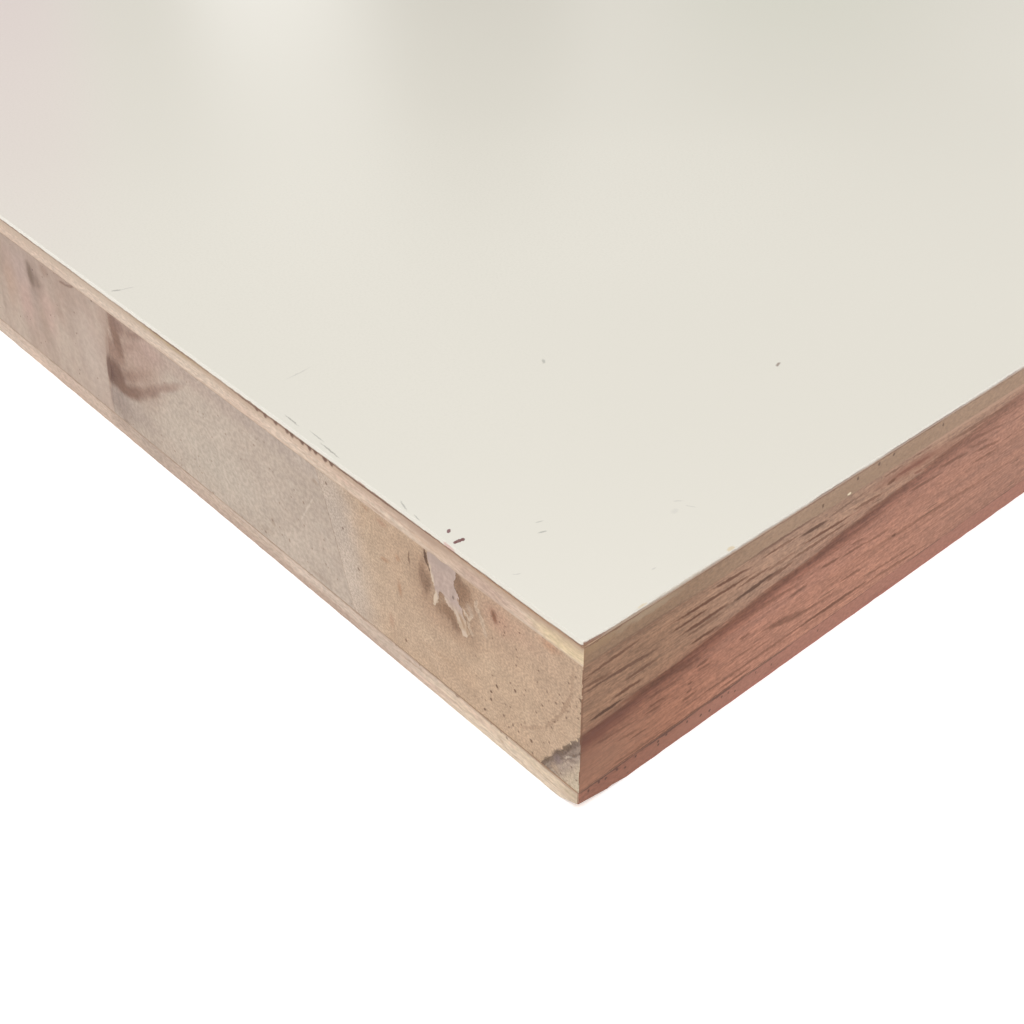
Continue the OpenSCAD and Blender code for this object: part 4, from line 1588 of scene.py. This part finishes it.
@dataclass
class Core:
    """The core: strips glued side by side, sawn off together at the ends.

    Attributes:
        groove_mm: How wide the broken edges beside the glue lines are.
        sunk_mm: How far the core's ends stand back from the veneers'.
        inset_mm: How far its near long side stands back.
        arris_mm: How wide the first strip's chipped upright edge is.
        chip_mm: How deep the chips in it are.
        chip_lump_mm: How long they are.
        chip_cuts: How many points they are made with.
        seed: What fixes the order of the strips' finishes.
    """

    groove_mm: float = 0.035
    sunk_mm: float = 0.02
    inset_mm: float = 0.045
    arris_mm: float = 0.06
    chip_mm: float = 0.14
    chip_lump_mm: float = 0.7
    chip_cuts: int = 44
    seed: int = 7

    def build(self) -> list[bpy.types.Object]:
        """Models and dresses every strip.

        Returns:
            The strips, in the order of their nodes.
        """
        first = [finish.materials() for finish in (FIRST_STRIP, SECOND_STRIP, THIRD_STRIP)]
        others = [finish.materials() for finish in OTHER_STRIPS]
        order = random.Random(self.seed)
        pieces, last = [], None
        for index, node in enumerate(STRIPS):
            if index < len(first):
                last = first[index]
            else:
                last = order.choice([materials for materials in others if materials is not last])
            pieces.append(dress(self.strip(node), last, (node,)))
        return pieces

    def strip(self, node: str) -> bpy.types.Object:
        """Models one strip from its CAD solid, with broken edges beside the glue lines.

        Args:
            node: The strip's CAD node.

        Returns:
            The strip, in object mode.
        """
        deselect()
        piece = bpy.data.objects.new(f"{node}_wood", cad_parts[node].data.copy())
        bpy.context.scene.collection.objects.link(piece)
        piece.select_set(True)
        bpy.context.view_layer.objects.active = piece
        bpy.ops.object.mode_set(mode="EDIT")
        bpy.ops.mesh.select_all(action="SELECT")
        bpy.ops.mesh.remove_doubles(threshold=MERGE_MM * MM)
        bpy.ops.mesh.dissolve_limited(angle_limit=math.radians(1))
        self.sink_ends(piece)
        pick(piece, "EDGE", lambda e: any(abs(face.normal.x) > END_OVER for face in e.link_faces))
        bpy.ops.mesh.bevel(offset=self.groove_mm * MM, segments=1, affect="EDGES")
        if node == STRIPS[0]:
            pick(piece, "EDGE", self.is_near_arris)
            bpy.ops.mesh.bevel(offset=self.arris_mm * MM, segments=2, affect="EDGES")
            pick(piece, "EDGE", self.is_near_arris)
            bpy.ops.mesh.subdivide(number_cuts=self.chip_cuts)
        bpy.ops.object.mode_set(mode="OBJECT")
        if node == STRIPS[0]:
            push(piece, lambda at: at.y < NEAR_SIDE_MM, "Y", self.inset_mm)
            deep, lump = self.chip_mm, self.chip_lump_mm
            for toward in "XY":
                push(piece, lambda at: max(at.x, at.y) < NEAR_ARRIS_MM, toward, deep, lump)
        return piece

    def is_near_arris(self, edge: Any) -> bool:
        """Says whether an edge is an upright one at the near corner.

        Args:
            edge: The edge.

        Returns:
            True if it is.
        """
        ends = place_of(edge)
        upright = abs(ends[0].z - ends[1].z) > HIGH_EDGE_MM
        return upright and all(max(end.x, end.y) < NEAR_ARRIS_MM for end in ends)

    def sink_ends(self, piece: bpy.types.Object) -> None:
        """Moves both ends of a strip inwards a little.

        Args:
            piece: The strip, in edit mode.
        """
        for value, move in ((0.0, self.sunk_mm), (SHEET.size(0), -self.sunk_mm)):
            pick(piece, "FACE", lambda f: on_plane(f, 0, value))
            bpy.ops.transform.translate(value=(move * MM, 0, 0))


@dataclass
class FillerPatch:
    """The putty in the first strip's end, as a thin crisp-edged flake that lies flush.

    Attributes:
        outline: Its outline as (b, h) in mm, in order.
        thick_mm: How thick it is above the strip's end.
        back_mm: How far it stands back from the sheet's end.
        cuts: How many points are added between two of the outline's.
        jitter_mm: How far chance moves them.
        seed: What fixes that chance.
    """

    outline: tuple[tuple[float, float], ...] = (
        (17.65, 15.6), (17.63, 14.4), (17.39, 13.59), (17.23, 12.87), (16.97, 12.39), (16.86, 11.97),
        (17.11, 10.99), (17.28, 10.46), (17.03, 10.38), (16.56, 11.02), (16.43, 11.6), (16.51, 12.01),
        (16.29, 12.34), (15.91, 12.34), (15.83, 11.99), (15.55, 11.67), (15.18, 11.43), (14.61, 11.31),
        (14.34, 11.0), (14.17, 10.45), (13.81, 9.86), (13.54, 9.38), (12.96, 9.61), (12.75, 10.08),
        (12.92, 10.63), (13.09, 11.17), (13.45, 11.75), (13.62, 12.29), (13.89, 12.43), (13.96, 13.03),
        (14.04, 13.47), (14.4, 13.88), (14.57, 14.24), (14.36, 14.86), (14.15, 15.38), (14.2, 15.6),
    )
    thick_mm: float = 0.02
    back_mm: float = 0.016
    cuts: int = 3
    jitter_mm: float = 0.09
    seed: int = 4

    def build(self) -> bpy.types.Object:
        """Models and dresses the patch.

        Returns:
            The patch.
        """
        deselect()
        turn = (math.pi / 2, 0, math.pi / 2)
        bpy.ops.mesh.primitive_circle_add(vertices=len(self.outline), fill_type="NGON", rotation=turn)
        bpy.ops.object.transform_apply(location=True, rotation=True, scale=True)
        piece = bpy.context.active_object
        piece.name = piece.data.name = "filler_patch"
        for vertex, (b, h) in zip(piece.data.vertices, self.outline):
            vertex.co = SHEET.point(self.back_mm, b, h)
        bpy.ops.object.mode_set(mode="EDIT")
        bpy.ops.mesh.select_all(action="SELECT")
        bpy.ops.mesh.subdivide(number_cuts=self.cuts, fractal=0.5, fractal_along_normal=0.0, seed=self.seed)
        bpy.ops.transform.vertex_random(offset=self.jitter_mm * MM, uniform=1.0, normal=0.0, seed=self.seed)
        bpy.ops.transform.resize(value=(0.0, 1.0, 1.0), center_override=SHEET.point(self.back_mm, 0, 0))
        bpy.ops.mesh.extrude_region_move(TRANSFORM_OT_translate={"value": (self.thick_mm * MM, 0, 0)})
        bpy.ops.mesh.select_all(action="SELECT")
        bpy.ops.mesh.normals_make_consistent(inside=False)
        bpy.ops.object.mode_set(mode="OBJECT")
        return dress(piece, (FillerFinish().material(),))


# -----------------------------------------------------------------------------
# Studio
# -----------------------------------------------------------------------------


@dataclass(frozen=True)
class Panel:
    """A soft reflector or a dark gap far away, which the laminate mirrors faintly.

    Attributes:
        heading: Where its middle is, in degrees from +X towards +Y.
        rise: How high its middle is, in degrees.
        half_width: Half its width, in degrees.
        half_height: Half its height, in degrees.
        light: Its radiance.
        soft: How far its edge fades, as a share of its size.
    """

    heading: float
    rise: float
    half_width: float
    half_height: float
    light: tuple[float, float, float]
    soft: float = 0.8

    def over(self, tree: bpy.types.NodeTree, bearing: Any, under: Any) -> Any:
        """Adds it to the light from all around.

        Args:
            tree: The world's node tree.
            bearing: The socket of a direction's heading and rise, in radians.
            under: The light so far.

        Returns:
            The new light's socket.
        """
        rise = math.radians(self.rise)
        across, upward = math.cos(rise) / math.radians(self.half_width), 1 / math.radians(self.half_height)
        start = (-math.radians(self.heading) * across, -rise * upward, 0.0)
        sockets = {0: bearing, 1: (across, upward, 0.0), 2: start}
        return self.laid(tree, add_node(tree, "VectorMath", sockets, operation="MULTIPLY_ADD"), under)

    def laid(self, tree: bpy.types.NodeTree, where: Any, under: Any) -> Any:
        """Lays its light over the light so far.

        Args:
            tree: The world's node tree.
            where: The socket of the place in it, whose length is 1 at its edge.
            under: The light so far.

        Returns:
            The new light's socket.
        """
        away = add_node(tree, "VectorMath", {0: where}, "Value", operation="LENGTH")
        share = add_node(tree, "MapRange", {0: away, 1: 1.0, 2: 1.0 - self.soft}, **SOFTLY)
        return add_node(tree, "Mix", {0: share, 6: under, 7: (*self.light, 1.0)}, 2, **RGB)


@dataclass(frozen=True)
class Ceiling(Panel):
    """A large panel overhead, too wide to be measured by heading and rise alone.

    Attributes:
        depth: How far it reaches along its own direction, where the whole sky is 2 deep.
    """

    depth: float = 2.0

    def over(self, tree: bpy.types.NodeTree, bearing: Any, under: Any) -> Any:
        """Adds it to the light from all around.

        Args:
            tree: The world's node tree.
            bearing: Not needed: the panel is measured from the direction itself.
            under: The light so far.

        Returns:
            The new light's socket.
        """
        rise, side = math.radians(self.rise), math.radians(self.heading)
        centre = (math.cos(rise) * math.cos(side), math.cos(rise) * math.sin(side), math.sin(rise))
        wide, high = (math.sin(math.radians(half)) for half in (self.half_width, self.half_height))
        direction = add_node(tree, "TexCoord", {}, "Generated")
        sockets = {0: direction, "Location": centre, "Rotation": (0.0, -rise, side)}
        sockets["Scale"] = (self.depth, wide, high)
        return self.laid(tree, add_node(tree, "Mapping", sockets, vector_type="TEXTURE"), under)


@dataclass
class Studio:
    """The camera, the floor and the soft light.

    Attributes:
        eye: Where the camera is, in the sheet's own mm.
        heading: The direction in which it looks, in degrees from +X towards +Y.
        down: How far it looks down, in degrees.
        roll: Its roll, in degrees.
        lens: Its focal length in mm.
        frame_mm: The width of its frame.
        floor_m: The floor's size.
        key_from: The direction that the main light comes from.
        key: The main light's strength.
        key_angle: How wide the main light is, in degrees.
        base: The radiance from all around.
        panels: The soft reflectors and dark gaps in it.
    """

    eye: tuple[float, float, float] = (-53.64, -53.03, 87.95)
    heading: float = 48.495
    down: float = 37.743
    roll: float = -0.29
    lens: float = 51.19
    frame_mm: float = 36.0
    floor_m: float = 60.0
    key_from: tuple[float, float, float] = (-0.42, -0.3, 0.86)
    key: float = 2.3
    key_angle: float = 50.0
    base: float = 0.5
    panels: tuple[Panel, ...] = (
        Ceiling(48.0, 50.0, 42.0, 16.0, (1.9, 1.9, 1.9), 0.9),
        Panel(36.0, 19.0, 13.0, 9.0, (0.26, 0.26, 0.24), 0.9),
        Panel(49.8, 19.0, 5.4, 9.5, (0.04, 0.04, 0.03), 0.6),
        Panel(37.5, 13.0, 7.5, 8.0, (0.02, 0.14, 0.04), 0.6),
        Panel(57.2, 20.0, 5.0, 12.0, (0.75, 0.75, 0.75), 0.9),
        Panel(58.0, 15.0, 4.2, 5.6, (1.3, 1.3, 1.3), 0.6),
        Panel(63.2, 18.0, 3.4, 9.0, (0.28, 0.28, 0.26), 0.8),
        Panel(68.5, 19.0, 4.6, 11.0, (0.4, 0.1, 0.3), 0.6),
    )

    def build(self) -> None:
        """Sets the stage."""
        self.camera()
        self.floor()
        self.key_light()
        self.sky()
        bpy.context.scene.view_settings.view_transform = "Standard"

    def camera(self) -> None:
        """Adds the camera, close to the near corner."""
        camera = bpy.data.cameras.new("camera")
        camera.lens = self.lens
        camera.sensor_width = self.frame_mm
        camera.clip_start = 0.01
        camera.clip_end = 200
        rig = bpy.data.objects.new("camera", camera)
        bpy.context.scene.collection.objects.link(rig)
        turn = Matrix.Rotation(math.radians(self.heading - 90), 4, "Z")
        turn @= Matrix.Rotation(math.radians(90 - self.down), 4, "X")
        turn @= Matrix.Rotation(math.radians(self.roll), 4, "Z")
        rig.matrix_world = Matrix.Translation(SHEET.point(*self.eye)) @ turn
        bpy.context.scene.camera = rig

    def floor(self) -> None:
        """Adds the floor under the sheet."""
        deselect()
        bpy.ops.mesh.primitive_plane_add(size=self.floor_m, location=(0, 0, SHEET.low.z))
        floor = bpy.context.active_object
        floor.name = "floor"
        floor.data.materials.append(FloorFinish().material())

    def key_light(self) -> None:
        """Adds the main light, wide enough to leave no hard shadow."""
        light = bpy.data.lights.new("key_light", "SUN")
        light.energy = self.key
        light.angle = math.radians(self.key_angle)
        lamp = bpy.data.objects.new("key_light", light)
        lamp.rotation_euler = Vector(self.key_from).to_track_quat("Z", "Y").to_euler()
        bpy.context.scene.collection.objects.link(lamp)

    def sky(self) -> None:
        """Surrounds the stage with even light, with soft panels in it, and a plain pale backdrop."""
        world = bpy.data.worlds.new("studio_light")
        bpy.context.scene.world = world
        world.use_nodes = True
        tree = world.node_tree
        tree.nodes.clear()
        direction = add_node(tree, "TexCoord", {}, "Generated")
        x, y, z = add_node(tree, "SeparateXYZ", {0: direction}).node.outputs
        heading = add_node(tree, "Math", {0: y, 1: x}, operation="ARCTAN2")
        rise = add_node(tree, "Math", {0: z}, operation="ARCSINE")
        bearing = add_node(tree, "CombineXYZ", {0: heading, 1: rise})
        light: Any = (self.base, self.base, self.base, 1.0)
        for panel in self.panels:
            light = panel.over(tree, bearing, light)
        seen = add_node(tree, "LightPath", {}, "Is Camera Ray")
        light = add_node(tree, "Mix", {0: seen, 6: light, 7: "#FFFFFF"}, 2, **RGB)
        shown = add_node(tree, "Background", {"Color": light, "Strength": 1.0})
        add_node(tree, "OutputWorld", {"Surface": shown})


def main() -> None:
    """Builds the stage and the sheet."""
    logging.basicConfig(level=logging.INFO, format="%(name)s: %(message)s")
    Studio().build()
    Skin("face_laminate", "laminate_sheet", "laminate", LAMINATE, corner_mm=0.35, back_mm=0.13).build()
    Skin("face_veneer", "face_veneer_sheet", "face_veneer", FACE_VENEER, hollow_mm=0.04).build()
    Skin(
        "back_veneer",
        "back_veneer_sheet",
        "back_veneer",
        BACK_VENEER,
        ease_side=0,
        ease_mm=0.03,
        corner_mm=0.4,
        torn_mm=0.08,
        inset_mm=0.1,
        wear=(4.2, 1.7, 0.77),
    ).build()
    Core().build()
    FillerPatch().build()


if __name__ == "__main__":
    main()
